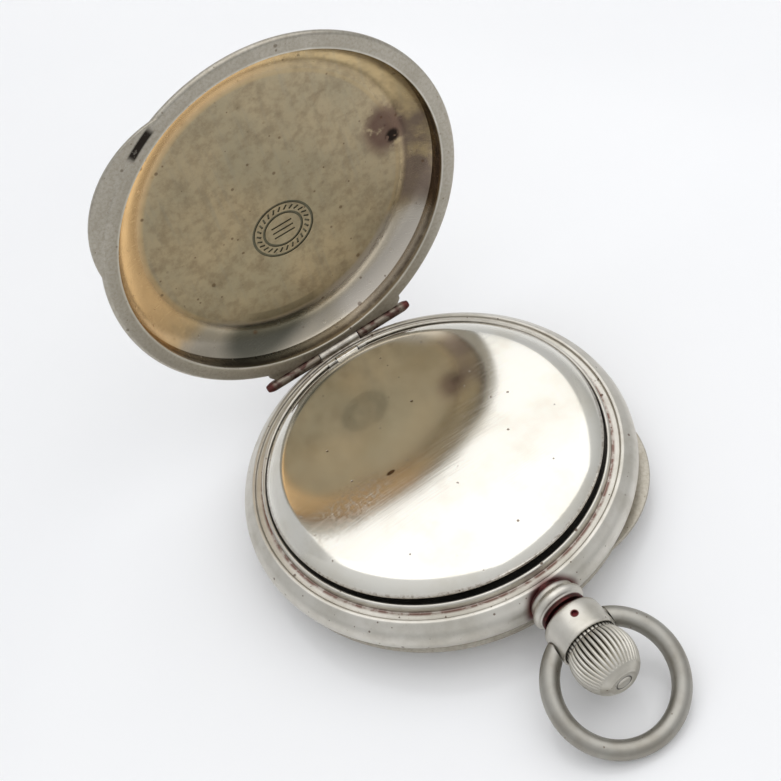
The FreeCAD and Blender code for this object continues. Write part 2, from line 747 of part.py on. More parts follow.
def line_angle(start, end):
    return math.atan2(end.y - start.y, end.x - start.x)


def going_train(places):
    """Barrel to escape wheel, each wheel phased to mesh with the one before it."""
    top, bottom = size("bridge_bottom") + 0.45, size("plate_top") - 0.6
    barrel_at, centre_at, third_at = places["barrel"], places["centre"], places["third"]
    fourth_at, escape_at = places["fourth"], places["escape"]
    barrel_count, centre_leaves = int(size("barrel_teeth")), int(size("centre_leaves"))
    centre_count, third_leaves = int(size("centre_teeth")), int(size("third_leaves"))
    third_count, fourth_leaves = int(size("third_teeth")), int(size("fourth_leaves"))
    fourth_count, escape_leaves = int(size("fourth_teeth")), int(size("escape_leaves"))

    module = size("barrel_module")
    drum = wheel(barrel_count, module, 0, 0.4, 1.3)
    drum = drum.fuse(Part.makeCylinder(8.6, 1.25)).cut([Part.makeCylinder(1.3, 2),
                                                        Part.makeCylinder(8.25, 2, Vector(0, 0, 0.25))])
    barrel_low = size("plate_top") + 0.55
    keep(made("mainspring_barrel", drum.removeSplitter(),
              (str(barrel_at.x), str(barrel_at.y), str(barrel_low))),
         "mainspring_barrel")
    lid = Part.makeCylinder(8.25, 0.18, Vector(0, 0, 1.07)).cut(Part.makeCylinder(1.3, 3))
    keep(made("barrel_cover", lid, (str(barrel_at.x), str(barrel_at.y), str(barrel_low))), "barrel_cover")
    spring = spiral(2.35, 8.1, 9, 0.25, 0.7)
    keep(made("mainspring", spring, (str(barrel_at.x), str(barrel_at.y), str(barrel_low + 0.3))),
         "mainspring")

    first = mesh_angle(barrel_count, 0, centre_leaves, line_angle(barrel_at, centre_at))
    low = size("plate_top")
    steps = [(0.45, bottom, top), (0.8, low + 0.15, low + 1.05), (0.4, size("front_rim") - 0.75, bottom)]
    keep(made("centre_arbor", arbor(centre_leaves, module, first, low + 0.5, low + 1.0, steps)),
         "centre_arbor")
    keep(made("centre_wheel", wheel(centre_count, size("centre_module"), 0, 0.25, 0.8, 1.6),
              ("0", "0", str(low + 0.2))), "centre_wheel")

    first = mesh_angle(centre_count, 0, third_leaves, line_angle(centre_at, third_at))
    steps = [(0.3, low + 0.1, low + 1.9), (0.16, bottom + 0.2, top)]
    third_place = (str(third_at.x), str(third_at.y), "0")
    keep(made("third_arbor", arbor(third_leaves, size("centre_module"), first, low + 0.12, low + 0.55,
                                   steps),
              third_place), "third_arbor")
    keep(made("third_wheel", wheel(third_count, size("third_module"), 0, 0.2, 0.3, 1.2),
              (third_place[0], third_place[1], str(low + 1.1))), "third_wheel")

    first = mesh_angle(third_count, 0, fourth_leaves, line_angle(third_at, fourth_at))
    steps = [(0.3, low + 0.1, low + 1.9), (0.18, size("front_rim") + 0.3, top)]
    fourth_place = (str(fourth_at.x), str(fourth_at.y), "0")
    keep(made("fourth_arbor", arbor(fourth_leaves, size("third_module"), first, low + 1.0, low + 1.4,
                                    steps),
              fourth_place), "fourth_arbor")
    keep(made("fourth_wheel", wheel(fourth_count, size("fourth_module"), 0, 0.25, 0.3, 1.1),
              (fourth_place[0], fourth_place[1], str(low + 0.2))), "fourth_wheel")

    first = mesh_angle(fourth_count, 0, escape_leaves, line_angle(fourth_at, escape_at))
    steps = [(0.24, low + 0.1, low + 1.9), (0.14, bottom + 0.2, top)]
    escape_place = (str(escape_at.x), str(escape_at.y), "0")
    keep(made("escape_arbor", arbor(escape_leaves, size("fourth_module"), first, low + 0.12, low + 0.6,
                                    steps),
              escape_place), "escape_arbor")
    keep(made("escape_wheel", club_wheel(), (escape_place[0], escape_place[1], str(low + 0.7))),
         "escape_wheel")


def club_wheel():
    """The escape wheel: raked teeth with broad tips, on four arms."""
    teeth, tip = int(size("escape_teeth")), size("escape_radius")
    root = tip - 0.75
    corners = []
    for tooth in range(teeth):
        for share, radius in ((0, root), (0.30, tip - 0.12), (0.42, tip), (0.50, tip - 0.1), (0.42, root)):
            angle = 2 * math.pi * (tooth + share) / teeth
            corners.append(Vector(radius * math.cos(angle), radius * math.sin(angle), 0))
    solid = Part.Face(Part.makePolygon(corners + corners[:1])).extrude(Vector(0, 0, 0.2))
    return solid.cut([Part.makeCylinder(0.24, 1)] + windows(0.8, root - 0.35, 4, 0.2))


# --- escapement ---------------------------------------------------------------------------------


def pallet_fork(places):
    """The fork and its two stones, which stand just outside the escape wheel's tips."""
    pivot, escape, balance = places["pallet"], places["escape"], places["balance"]
    low = size("plate_top")
    back = math.degrees(line_angle(pivot, escape))
    forward = math.degrees(line_angle(pivot, balance))
    reach = (balance - pivot).Length - 1.15
    body = Part.makeBox(reach, 0.5, 0.22, Vector(0, -0.25, 0))
    for side in (-1, 1):
        body = body.fuse(Part.makeBox(0.5, 0.24, 0.22, Vector(reach - 0.1, side * 0.34 - 0.12, 0)))
        body = body.fuse(Part.makeBox(0.3, 0.5, 0.22, Vector(reach - 0.25, -0.25 + side * 0.2, 0)))
    body.rotate(Vector(), Vector(0, 0, 1), forward)
    arm_span = 1.75
    stones = []
    for side in (-1, 1):
        direction = back + side * 61
        arm = Part.makeBox(arm_span, 0.5, 0.22, Vector(0, -0.25, 0))
        arm.rotate(Vector(), Vector(0, 0, 1), direction)
        body = body.fuse(arm)
        stone = Part.makeBox(0.32, 0.75, 0.2, Vector(arm_span - 0.32, -0.375, 0.24))
        stone.rotate(Vector(), Vector(0, 0, 1), direction)
        stones.append(stone)
    body = body.fuse(Part.makeCylinder(0.42, 0.22))
    body = body.fuse(Part.makeCylinder(0.12, 2.2, Vector(0, 0, -1.45)))
    at = (str(pivot.x), str(pivot.y), str(low + 0.98))
    keep(made("pallet_fork", body.removeSplitter(), at), "pallet_fork")
    keep(group("pallet_stones", *[made(f"pallet_stone_{number}", stone, at) for number,
                                  stone in enumerate(stones)]),
         "pallet_stones")


def balance(places):
    centre = places["balance"]
    at = (str(centre.x), str(centre.y), "0")
    low = size("plate_top")
    rim_low, radius = low + 1.55, size("balance_radius")
    rim = Part.makeCylinder(radius, 0.4).cut(Part.makeCylinder(radius - 0.45, 0.4))
    spoke = Part.makeBox(2 * radius - 0.4, 0.55, 0.22, Vector(0.2 - radius, -0.275, 0.1))
    disc = rim.fuse(spoke).fuse(Part.makeCylinder(0.75, 0.3)).cut(Part.makeCylinder(0.3, 1))
    keep(made("balance_wheel", disc.removeSplitter(), (at[0], at[1], str(rim_low))), "balance_wheel")
    screws = []
    for number in range(14):
        azimuth = 360 / 14 * (number + 0.5)
        solid = Part.makeCylinder(0.17, 0.35, polar(radius, azimuth), polar(1, azimuth))
        screws.append(made(f"timing_screw_{number}", solid, (at[0], at[1], str(rim_low + 0.2))))
    keep(group("balance_screws", *screws), "balance_screws")
    staff = Part.makeCylinder(0.3, 2.0, Vector(0, 0, low + 0.2))
    staff = staff.fuse(Part.makeCylinder(0.1, 3.6, Vector(0, 0, low - 0.5)))
    staff = staff.fuse(Part.makeCylinder(1.0, 0.16, Vector(0, 0, low + 1.28)))
    staff = staff.fuse(Part.makeCylinder(0.13, 0.3, polar(0.82, 235, low + 1.0)))
    keep(made("balance_staff", staff.removeSplitter(), at), "balance_staff")
    hairspring(at, rim_low + 0.62)


def hairspring(at, height):
    """The balance spring: a flat spiral pinned to a collet on the staff."""
    collet = Part.makeCylinder(0.66, 0.16).cut(Part.makeCylinder(0.3, 0.2))
    spring = collet.fuse(spiral(0.6, 3.1, 9, 0.06, 0.16))
    keep(made("hairspring", spring.removeSplitter(), (at[0], at[1], str(height))), "hairspring")


# --- plates and bridges -------------------------------------------------------------------------


CLAMP_AZIMUTHS = (60, 162, 318)
SCREW_PLACES = {
    "barrel_bridge": (Vector(-4.4, -18.1, 0), Vector(-16.8, 8.5, 0), Vector(-2.5, 17.8, 0)),
    "train_bridge": (Vector(5.2, 16.2, 0), Vector(17.3, 7.0, 0), Vector(19.1, -0.6, 0)),
    "balance_cock": (Vector(17.1, -9.5, 0),),
}


def main_plate(places):
    """The pillar plate, flanged to seat in the band, with its pivot holes and sinks."""
    low, high = size("plate_bottom"), size("plate_top")
    disc = turned("plate_blank", [
        ("0", "plate_bottom"),
        ("flange_radius", "plate_bottom"),
        ("flange_radius", "ledge_top - 0.55"),
        ("plate_radius", "ledge_top - 0.55"),
        ("plate_radius", "plate_top"),
        ("0", "plate_top"),
    ])
    sink = cylinder("motion_sink", "9.6", "0.9", ("0", "0", "plate_bottom"))
    barrel = places["barrel"]
    at = (str(barrel.x), str(barrel.y), str(high - 0.1))
    tools = [sink, cylinder("barrel_sink", "9.8", "1", at)]
    holes = {"centre": 0.5, "third": 0.2, "fourth": 0.24, "escape": 0.18, "pallet": 0.16,
             "balance": 0.14, "barrel": 1.25}
    for name, radius in holes.items():
        spot = places[name]
        tools.append(cylinder("plate_hole_" + name, str(radius), "4",
                              (str(spot.x), str(spot.y), str(low - 1))))
    for number, azimuth in enumerate(CLAMP_AZIMUTHS):
        spot = polar(20.7, azimuth)
        tools.append(cylinder(f"clamp_hole_{number}", "0.45", "1.2",
                              (str(spot.x), str(spot.y), str(high - 1.1))))
    spot = minute_wheel_place()
    tools.append(cylinder("minute_post_hole", "0.26", "1.4", (str(spot.x), str(spot.y), str(low))))
    tools.append(box("winding_window", "5", "3.4", "5", ("-2.5", "-20.2", str(low - 0.5))))
    tools.append(cylinder("plate_stem_room", "stem_bore", "8", ("0", "-16", "stem_z"), OUTWARDS))
    keep(cut("main_plate", disc, *tools), "main_plate")


def bridge_shape(name, corners, at_pillars, rounds=()):
    """A bridge: a plate inside the movement's circle, standing on pillars at its screws."""
    thick = size("bridge_top") - size("bridge_bottom")
    limit = Part.makeCylinder(size("plate_radius") - 0.7, thick)
    blank = Part.Face(Part.makePolygon(corners + corners[:1])).extrude(Vector(0, 0, thick))
    solid = blank.common(limit)
    for centre, radius in rounds:
        solid = solid.cut(Part.makeCylinder(radius, thick, centre))
    drop = size("bridge_bottom") - size("plate_top")
    for spot in at_pillars:
        pillar_radius = 1.25 if name != "balance_cock" else 1.5
        solid = solid.fuse(Part.makeCylinder(pillar_radius, thick + drop, spot - Vector(0, 0, drop)))
        solid = solid.cut(Part.makeCylinder(0.5, thick + drop, spot - Vector(0, 0, drop)))
    return solid


def bridges(places):
    level = ("0", "0", "bridge_bottom")
    balance_at = places["balance"]
    hole = 0.9
    deep = size("bridge_top") - size("bridge_bottom") + 0.2

    def drill(solid, names):
        return solid.cut([Part.makeCylinder(hole, deep, places[name]) for name in names])

    left = [Vector(*point, 0) for point in ((2.4, 22), (2.4, -9), (-1.9, -12.0), (-2.4, -17.4),
                                            (-2.4, -22), (-22, -22), (-22, 22))]
    barrel = bridge_shape("barrel_bridge", left, SCREW_PLACES["barrel_bridge"])
    tongue = Part.makeCylinder(1.9, 0.7, places["crown_wheel"])
    tongue = tongue.fuse(Part.makeBox(6, 3.2, 0.7, places["crown_wheel"] - Vector(6, 1.3, 0)))
    barrel = drill(barrel.fuse(tongue), ["centre"]).cut(Part.makeCylinder(1.25, deep, places["barrel"]))
    barrel = barrel.cut([Part.makeCylinder(0.5, deep, places["crown_wheel"]),
                         Part.makeCylinder(0.4, deep, click_pivot(places)[0])])
    keep(made("barrel_bridge", barrel.removeSplitter(), level), "barrel_bridge")
    right = [Vector(*point, 0) for point in ((2.7, 22), (22, 22), (22, -5.6), (2.7, -5.6))]
    train = bridge_shape("train_bridge", right, SCREW_PLACES["train_bridge"], [(balance_at, 6.0)])
    keep(made("train_bridge", drill(train, ["third", "fourth", "escape"]).removeSplitter(), level),
         "train_bridge")
    foot = SCREW_PLACES["balance_cock"][0]
    angle = line_angle(foot, balance_at)
    wide = 1.5
    side = Vector(-math.sin(angle), math.cos(angle), 0) * wide
    finger = [foot + side, foot - side, balance_at - side, balance_at + side]
    cock = bridge_shape("balance_cock", finger, [])
    cock = cock.fuse(Part.makeCylinder(2.2, 0.7, balance_at)).cut(Part.makeCylinder(hole, deep, balance_at))
    cock.translate(Vector(0, 0, 0.35))
    post = Part.makeCylinder(1.5, size("bridge_bottom") + 0.35 + 0.7 - size("plate_top"),
                             foot - Vector(0, 0, size("bridge_bottom") - size("plate_top")))
    cock = cock.fuse(post).cut(Part.makeCylinder(0.5, 6, foot - Vector(0, 0, 3)))
    keep(made("balance_cock", cock.removeSplitter(), level), "balance_cock")
    pallet = places["pallet"]
    bar = Part.makeCylinder(0.8, 0.3)
    for spot in (Vector(-2.55, 0.35, 0), Vector(2.4, -1.75, 0)):
        arm = Part.makeBox(spot.Length, 1.2, 0.3, Vector(0, -0.6, 0))
        arm.rotate(Vector(), Vector(0, 0, 1), math.degrees(math.atan2(spot.y, spot.x)))
        bar = bar.fuse(arm).fuse(Part.makeCylinder(0.6, 1.5, spot - Vector(0, 0, 1.2)))
    bar = bar.cut(Part.makeCylinder(0.16, 2, Vector(0, 0, -1)))
    keep(made("pallet_bridge", bar.removeSplitter(), (str(pallet.x), str(pallet.y), "plate_top + 1.2")),
         "pallet_bridge")


def screw(radius, head_radius, head, length):
    """A slotted cheese-head screw, its head's underside at z = 0."""
    solid = Part.makeCylinder(head_radius,
                              head).fuse(Part.makeCylinder(radius, length, Vector(0, 0, -length)))
    return solid.cut(Part.makeBox(2 * head_radius, 0.16, head / 2, Vector(-head_radius, -0.08, head / 2)))


def movement_screws(places):
    pieces = []
    for bridge, spots in SCREW_PLACES.items():
        raised = 0.35 if bridge == "balance_cock" else 0
        for number, spot in enumerate(spots):
            at = (str(spot.x), str(spot.y), f"bridge_top + {raised}")
            pieces.append(made(f"{bridge}_screw_{number}", screw(0.5, 0.85, 0.3, 2.7), at,
                               Rotation(Vector(0, 0, 1), 37 * number + 11)))
    pivot = click_pivot(places)[0]
    pieces.append(made("click_screw", screw(0.4, 0.75, 0.25, 0.95),
                       (str(pivot.x), str(pivot.y), "bridge_top + 0.42")))
    keep(group("bridge_screws", *pieces), "bridge_screws")
    clamps = []
    for number, azimuth in enumerate(CLAMP_AZIMUTHS):
        spot = polar(20.7, azimuth)
        clamps.append(made(f"case_screw_{number}", screw(0.45, 1.1, 0.4, 1.0),
                           (str(spot.x), str(spot.y), "plate_top"), Rotation(Vector(0, 0, 1), 50 * number)))
    keep(group("case_screws", *clamps), "case_screws")


def jewels(places):
    """Pivot jewels pressed into the bridges, each a ring with a polished sink."""
    pieces = []
    inner = {"centre": 0.47, "third": 0.18, "fourth": 0.2, "escape": 0.16, "balance": 0.12}
    for name, radius in inner.items():
        raised = 0.35 if name == "balance" else 0
        ring = Part.makeCylinder(0.9, 0.5).cut([Part.makeCylinder(radius, 1),
                                                Part.makeCone(radius, 0.7, 0.25, Vector(0, 0, 0.25))])
        spot = places[name]
        pieces.append(made("jewel_" + name, ring,
                           (str(spot.x), str(spot.y), f"bridge_bottom + {raised} + 0.15")))
    keep(group("bridge_jewels", *pieces), "bridge_jewels")


def regulator(places):
    centre = places["balance"]
    ring = Part.makeCylinder(1.5, 0.2).cut(Part.makeCylinder(1.0, 0.2))
    pointer = Part.makeBox(3.2, 0.5, 0.2, Vector(1.2, -0.25, 0))
    tip = Part.Face(Part.makePolygon([Vector(4.3, -0.25, 0), Vector(5.4, 0, 0), Vector(4.3, 0.25, 0),
                                      Vector(4.3, -0.25, 0)]))
    solid = ring.fuse(pointer).fuse(tip.extrude(Vector(0, 0, 0.2)))
    solid.rotate(Vector(), Vector(0, 0, 1), 200)
    keep(made("regulator", solid.removeSplitter(), (str(centre.x), str(centre.y), "bridge_top + 0.37")),
         "regulator")


# --- winding work -------------------------------------------------------------------------------


def winding_work(places):
    top = size("bridge_top")
    crown_at, barrel_at = places["crown_wheel"], places["barrel"]
    crown_count, ratchet_count = int(size("crown_wheel_teeth")), int(size("ratchet_teeth"))
    module = size("winding_module")
    solid = wheel(crown_count, module, 0, 0.4, 1.0)
    keep(made("crown_wheel", solid, (str(crown_at.x), str(crown_at.y), str(top + 0.05))), "crown_wheel")
    boss = screw(0.95, 1.9, 0.25, 0.45).fuse(Part.makeCylinder(0.5, 1.0, Vector(0, 0, -1.1)))
    keep(made("crown_wheel_screw", boss, (str(crown_at.x), str(crown_at.y), str(top + 0.5))),
         "crown_wheel_screw")
    first = mesh_angle(crown_count, 0, ratchet_count, line_angle(crown_at, barrel_at))
    square = Part.makeBox(1.5, 1.5, 1, Vector(-0.75, -0.75, 0))
    solid = toothed_face(ratchet_count, module, first).extrude(Vector(0, 0, 0.4)).cut(square)
    keep(made("ratchet_wheel", solid, (str(barrel_at.x), str(barrel_at.y), str(top + 0.05))),
         "ratchet_wheel")
    low = size("plate_top")
    post = Part.makeCylinder(1.15, top - low + 1.5, Vector(0, 0, -1.5))
    post = post.fuse(Part.makeBox(1.5, 1.5, 0.45, Vector(-0.75, -0.75, top - low)))
    post = post.fuse(Part.makeCylinder(2.2, 0.6, Vector(0, 0, 0.9)))
    post = post.cut(Part.makeCylinder(0.4, 1.5, Vector(0, 0, top - low - 1)))
    keep(made("barrel_arbor", post.removeSplitter(), (str(barrel_at.x), str(barrel_at.y), str(low))),
         "barrel_arbor")
    keep(made("ratchet_screw", screw(0.4, 1.5, 0.3, 1.0),
              (str(barrel_at.x), str(barrel_at.y), str(top + 0.46)),
              Rotation(Vector(0, 0, 1), 20)), "ratchet_screw")
    pinion = toothed_face(int(size("winding_leaves")),
                          size("winding_tip") * 2 / (size("winding_leaves") + 1.7), 0)
    pinion = pinion.extrude(Vector(0, 0, 1.5)).cut(Part.makeCylinder(size("stem_radius") + 0.03, 2))
    keep(made("winding_pinion", pinion, ("0", "-17.9", "stem_z"), OUTWARDS), "winding_pinion")
    click(places)


CLICK_AZIMUTH = 118


def click_pivot(places):
    """The click's pivot and the ratchet wheel's tip radius."""
    tip_radius = size("winding_module * ratchet_teeth / 2 + 0.85 * winding_module")
    return places["barrel"] + polar(tip_radius + 2.4, CLICK_AZIMUTH), tip_radius


def click(places):
    """The click and its wire spring, on the barrel bridge beside the ratchet wheel."""
    barrel_at, azimuth = places["barrel"], CLICK_AZIMUTH
    pivot, tip_radius = click_pivot(places)
    nose = barrel_at + polar(tip_radius + 0.12, azimuth - 12)
    inward = polar(1, azimuth)
    tangent = Vector(inward.y, -inward.x, 0)
    corners = [pivot + tangent * -0.9, nose, nose + inward * 0.9 + tangent * 0.2, pivot + inward * 1.0]
    shape = Part.Face(Part.makePolygon(corners + corners[:1])).extrude(Vector(0, 0, 0.35))
    shape = shape.fuse(Part.makeCylinder(1.0, 0.35, pivot)).cut(Part.makeCylinder(0.42, 0.35, pivot))
    keep(made("click", shape.removeSplitter(), ("0", "0", "bridge_top + 0.05")), "click")
    strip = arc_strip(3.0, 3.25, azimuth - 60, azimuth + 60, 0.3)
    strip.translate(pivot + inward * -1.2)
    strip = strip.fuse(Part.makeCylinder(0.5, 0.3, pivot + inward * -1.2 + polar(3.1, azimuth + 60)))
    keep(made("click_spring", strip.removeSplitter(), ("0", "0", "bridge_top + 0.02")), "click_spring")


# --- dial, hands and motion work ----------------------------------------------------------------


def dial(places):
    fourth = places["fourth"]
    blank = turned("dial_blank", [
        ("0", "dial_bottom"),
        ("21.6", "dial_bottom"),
        ("21.9", "dial_bottom + 0.12"),
        ("21.9", "plate_bottom"),
        ("0", "plate_bottom"),
    ])
    at = (str(fourth.x), str(fourth.y), "dial_bottom - 1")
    tools = [
        cylinder("hand_hole", "1.7", "3", ("0", "0", "dial_bottom - 1")),
        cylinder("seconds_hole", "0.45", "3", at),
        cylinder("seconds_sink", "5.2", "1.12", at),
    ]
    keep(cut("dial", blank, *tools), "dial")


def hand(length, tail, hub, wide, bore, thick):
    """A leaf-shaped hand pointing along -X, twelve on the dial."""
    leaf = [
        Vector(-hub * 0.7, 0.22, 0),
        Vector(-length * 0.55, wide, 0),
        Vector(-length, 0.05, 0),
        Vector(-length, -0.05, 0),
        Vector(-length * 0.55, -wide, 0),
        Vector(-hub * 0.7, -0.22, 0),
    ]
    solid = Part.Face(Part.makePolygon(leaf + leaf[:1])).extrude(Vector(0, 0, thick))
    solid = solid.fuse(Part.makeCylinder(hub, thick))
    if tail:
        solid = solid.fuse(Part.makeBox(tail, 0.3, thick, Vector(0, -0.15, 0)))
    return solid.cut(Part.makeCylinder(bore, thick)).removeSplitter()


def minute_wheel_place():
    return polar(size("motion_module * (cannon_leaves + minute_teeth) / 2"), 150)


def hands_and_motion_work(places):
    """Hour, minute and seconds hands with the wheels that carry them."""
    hour, minute = hand(11.5, 0, 1.6, 0.85, 1.3, 0.16), hand(17.8, 0, 1.1, 0.6, 0.4, 0.16)
    for solid, azimuth in ((hour, -52), (minute, -64)):
        solid.rotate(Vector(), Vector(0, 0, 1), azimuth)
    keep(made("hour_hand", hour, ("0", "0", "front_rim + 0.1")), "hour_hand")
    keep(made("minute_hand", minute, ("0", "0", "front_rim - 0.55")), "minute_hand")
    fourth = places["fourth"]
    seconds = hand(4.3, 1.6, 0.5, 0.12, 0.18, 0.12)
    seconds.rotate(Vector(), Vector(0, 0, 1), 130)
    keep(made("seconds_hand", seconds, (str(fourth.x), str(fourth.y), "front_rim + 0.5")), "seconds_hand")
    module = size("motion_module")
    cannon_leaves, minute_count = int(size("cannon_leaves")), int(size("minute_teeth"))
    minute_leaves, hour_count = int(size("minute_leaves")), int(size("hour_teeth"))
    distance = module * (cannon_leaves + minute_count) / 2
    hour_module = 2 * distance / (minute_leaves + hour_count)
    minute_at = minute_wheel_place()
    low = size("plate_bottom")
    cannon = toothed_face(cannon_leaves, module, 0).extrude(Vector(0, 0, 0.35))
    cannon.translate(Vector(0, 0, low + 0.45))
    cannon = cannon.fuse(Part.makeCylinder(0.75, low + 0.6 - size("front_rim") + 0.3,
                                           Vector(0, 0, size("front_rim") - 0.35)))
    cannon = cannon.cut(Part.makeCylinder(0.4, 5, Vector(0, 0, 3)))
    keep(made("cannon_pinion", cannon.removeSplitter()), "cannon_pinion")
    line = line_angle(Vector(), minute_at)
    first = mesh_angle(cannon_leaves, 0, minute_count, line)
    wheel_solid = toothed_face(minute_count, module, first).extrude(Vector(0, 0, 0.25))
    wheel_solid.translate(Vector(0, 0, 0.5))
    pinion = toothed_face(minute_leaves, hour_module, 0).extrude(Vector(0, 0, 0.55))
    minute_wheel = wheel_solid.fuse(pinion).cut(Part.makeCylinder(0.3, 2))
    keep(made("minute_wheel", minute_wheel.removeSplitter(),
              (str(minute_at.x), str(minute_at.y), "plate_bottom + 0.03")),
         "minute_wheel")
    post = Part.makeCylinder(0.26, 1.3)
    keep(made("minute_wheel_post", post, (str(minute_at.x), str(minute_at.y), "plate_bottom + 0.02")),
         "minute_wheel_post")
    first = mesh_angle(minute_leaves, 0, hour_count, line + math.pi)
    hour_wheel = toothed_face(hour_count, hour_module, first).extrude(Vector(0, 0, 0.25))
    hour_wheel.translate(Vector(0, 0, low + 0.05))
    pipe = Part.makeCylinder(1.3, low + 0.1 - size("front_rim") - 0.08,
                             Vector(0, 0, size("front_rim") + 0.08))
    hour_wheel = hour_wheel.fuse(pipe).cut(Part.makeCylinder(0.82, 4, Vector(0, 0, 3)))
    keep(made("hour_wheel", hour_wheel.removeSplitter()), "hour_wheel")


# --- assembly -----------------------------------------------------------------------------------


case_band()
covers()
cuvette()
glazing()
pendant()
crown()
bow()
case_springs()
spots = train_places()
going_train(spots)
pallet_fork(spots)
balance(spots)
main_plate(spots)
bridges(spots)
movement_screws(spots)
jewels(spots)
regulator(spots)
winding_work(spots)
dial(spots)
hands_and_motion_work(spots)
doc.recompute()

failed = [piece.Label for piece in doc.Objects if {"Invalid", "Error"} & set(piece.State)]
for name, piece in nodes.items():
    shape = piece.Shape
    if shape.isNull() or not shape.isValid() or not shape.Solids:
        failed.append(name)
if failed:
    raise RuntimeError("these features failed: " + ", ".join(failed))
os.makedirs("parts", exist_ok=True)
for name, piece in nodes.items():
    piece.Shape.exportStep(f"parts/{name}.step")
    print(name, "solids", len(piece.Shape.Solids), "volume", round(piece.Shape.Volume, 2))
print(len(nodes), "sub-parts")
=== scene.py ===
"""A hunter pocket watch lying on its front cover, back cover open: the looks round the CAD frame."""
import math

import bmesh
import bpy
from mathutils import Matrix, Quaternion, Vector, noise


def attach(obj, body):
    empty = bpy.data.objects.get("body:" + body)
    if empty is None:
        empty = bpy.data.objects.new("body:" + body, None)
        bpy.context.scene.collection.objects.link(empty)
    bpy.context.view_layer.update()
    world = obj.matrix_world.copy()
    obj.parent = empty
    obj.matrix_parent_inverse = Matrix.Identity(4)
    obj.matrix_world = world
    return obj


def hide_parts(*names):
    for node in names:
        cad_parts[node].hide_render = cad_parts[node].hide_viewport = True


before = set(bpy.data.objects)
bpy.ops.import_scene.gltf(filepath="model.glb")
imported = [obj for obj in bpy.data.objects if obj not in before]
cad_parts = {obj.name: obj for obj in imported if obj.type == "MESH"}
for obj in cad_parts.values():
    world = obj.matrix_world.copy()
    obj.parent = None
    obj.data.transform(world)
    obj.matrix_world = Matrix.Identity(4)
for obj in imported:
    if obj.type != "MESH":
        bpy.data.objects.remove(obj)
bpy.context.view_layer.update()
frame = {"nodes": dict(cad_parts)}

MM = 0.001
TURN = 2 * math.pi
ROUND_STEPS = 288

# Case sizes in millimetres, the same as the CAD model's
FRONT_RIM, BACK_RIM = 4.4, 10.4
BAND_EDGE, BAND_BULGE = 27.7, 2.75
NECK_OUTER, NECK_INNER, BEAD_TOP = 25.25, 24.62, 11.1
CUVETTE_SEAT, LEDGE_TOP = 10.45, 7.5
COVER_RADIUS, COVER_OPENING, COVER_FLAT, COVER_SHEET = 27.8, 25.4, 20.5, 0.6
COVE_RADIUS, BACK_DEPTH, FRONT_DEPTH = 5.2, 5.0, 4.4
COVE_CENTRE, COVE_SINK = 21.24, 5.75
BACK_OPEN_ANGLE = 92
LIP_RADIUS, LIP_OFFSET, LIP_LOW, LIP_HIGH, LIP_AZIMUTH = 16.54, 13.56, 0.06, 0.7, 220
HINGE_Y, HINGE_RISE, KNUCKLE, HINGE_HALF, MIDDLE_HALF, HINGE_GAP = 27.4, 0.1, 0.8, 13.0, 3.45, 0.1
CUVETTE_RADIUS, CUVETTE_TOP, CUVETTE_SHEET = 24.45, 13.8, 0.45
CAP_RADIUS, CAP_EDGE, ROLL_RADIUS = 200, 21.2, 4.6
CUVETTE_HINGE, CUVETTE_KNUCKLE, CUVETTE_AJAR = (24.55, 11.04), 0.5, 2
STEM_Z, STEM_BORE = 8.2, 0.74
SLEEVE_START, SLEEVE_END, SLEEVE_RADIUS, SLEEVE_MOUTH = 32.3, 36.9, 4.2, 3.85
CROWN_END, CROWN_FLUTES = 44.0, 38
BOW_PIVOT, BOW_CENTRE, BOW_RADIUS, BOW_WIRE, BOW_PEG = 34.5, 7.95, 8.5, 1.35, 0.8
BOW_GAP, PEG_START, BOW_DROOP = 0.1, 3.3, 24.5
DIAL_FACE = 5.2
SEAL_PLACE, SEAL_DEPTH = (-0.2, 4.9), 0.12


# --- outlines -----------------------------------------------------------------------------------


def arc_between(start, end, radius, side, steps=12):
    """The shorter arc between two points, its centre to the left (1) or right (-1) of the way."""
    a, b = Vector(start), Vector(end)
    half = (b - a) / 2
    across = Vector((-half.y, half.x)).normalized()
    centre = a + half + across * side * math.sqrt(radius**2 - half.length_squared)
    first = math.atan2(a.y - centre.y, a.x - centre.x)
    sweep = side * 2 * math.asin(half.length / radius)
    return [(centre.x + radius * math.cos(first + sweep * step / steps),
             centre.y + radius * math.sin(first + sweep * step / steps)) for step in range(steps + 1)]


def softened(outline, steps=3):
    """The outline with each (x, y, fillet) corner rounded, and long runs divided."""
    points = []
    for index, corner in enumerate(outline):
        here = Vector(corner[:2])
        if len(corner) < 3:
            points.append(here)
            continue
        before, after = Vector(outline[index - 1][:2]), Vector(outline[(index + 1) % len(outline)][:2])
        reach = min(corner[2], 0.45 * (before - here).length, 0.45 * (after - here).length)
        start, end = here + (before - here).normalized() * reach, here + (after - here).normalized() * reach
        for step in range(steps + 1):
            share = step / steps
            points.append(start.lerp(here, share).lerp(here.lerp(end, share), share))
    divided = []
    for point, following in zip(points, points[1:] + points[:1]):
        parts = max(1, math.ceil((following - point).length / 1.2))
        if point.x < 1e-6 and following.x < 1e-6:
            parts = 1
        divided += [point.lerp(following, part / parts) for part in range(parts)]
    return [(point.x, point.y) for point in divided]


# --- meshes -------------------------------------------------------------------------------------


def show(name, mesh, place=None):
    piece = bpy.data.objects.new(name, mesh)
    bpy.context.scene.collection.objects.link(piece)
    if place is not None:
        piece.matrix_world = place
    return piece


def solid(name, points, faces, place=None):
    """A piece from points in millimetres, its faces turned outwards."""
    mesh = bpy.data.meshes.new(name)
    mesh.from_pydata([Vector(point) * MM for point in points], [], faces)
    work = bmesh.new()
    work.from_mesh(mesh)
    bmesh.ops.recalc_face_normals(work, faces=work.faces)
    work.to_mesh(mesh)
    work.free()
    return show(name, mesh, place)


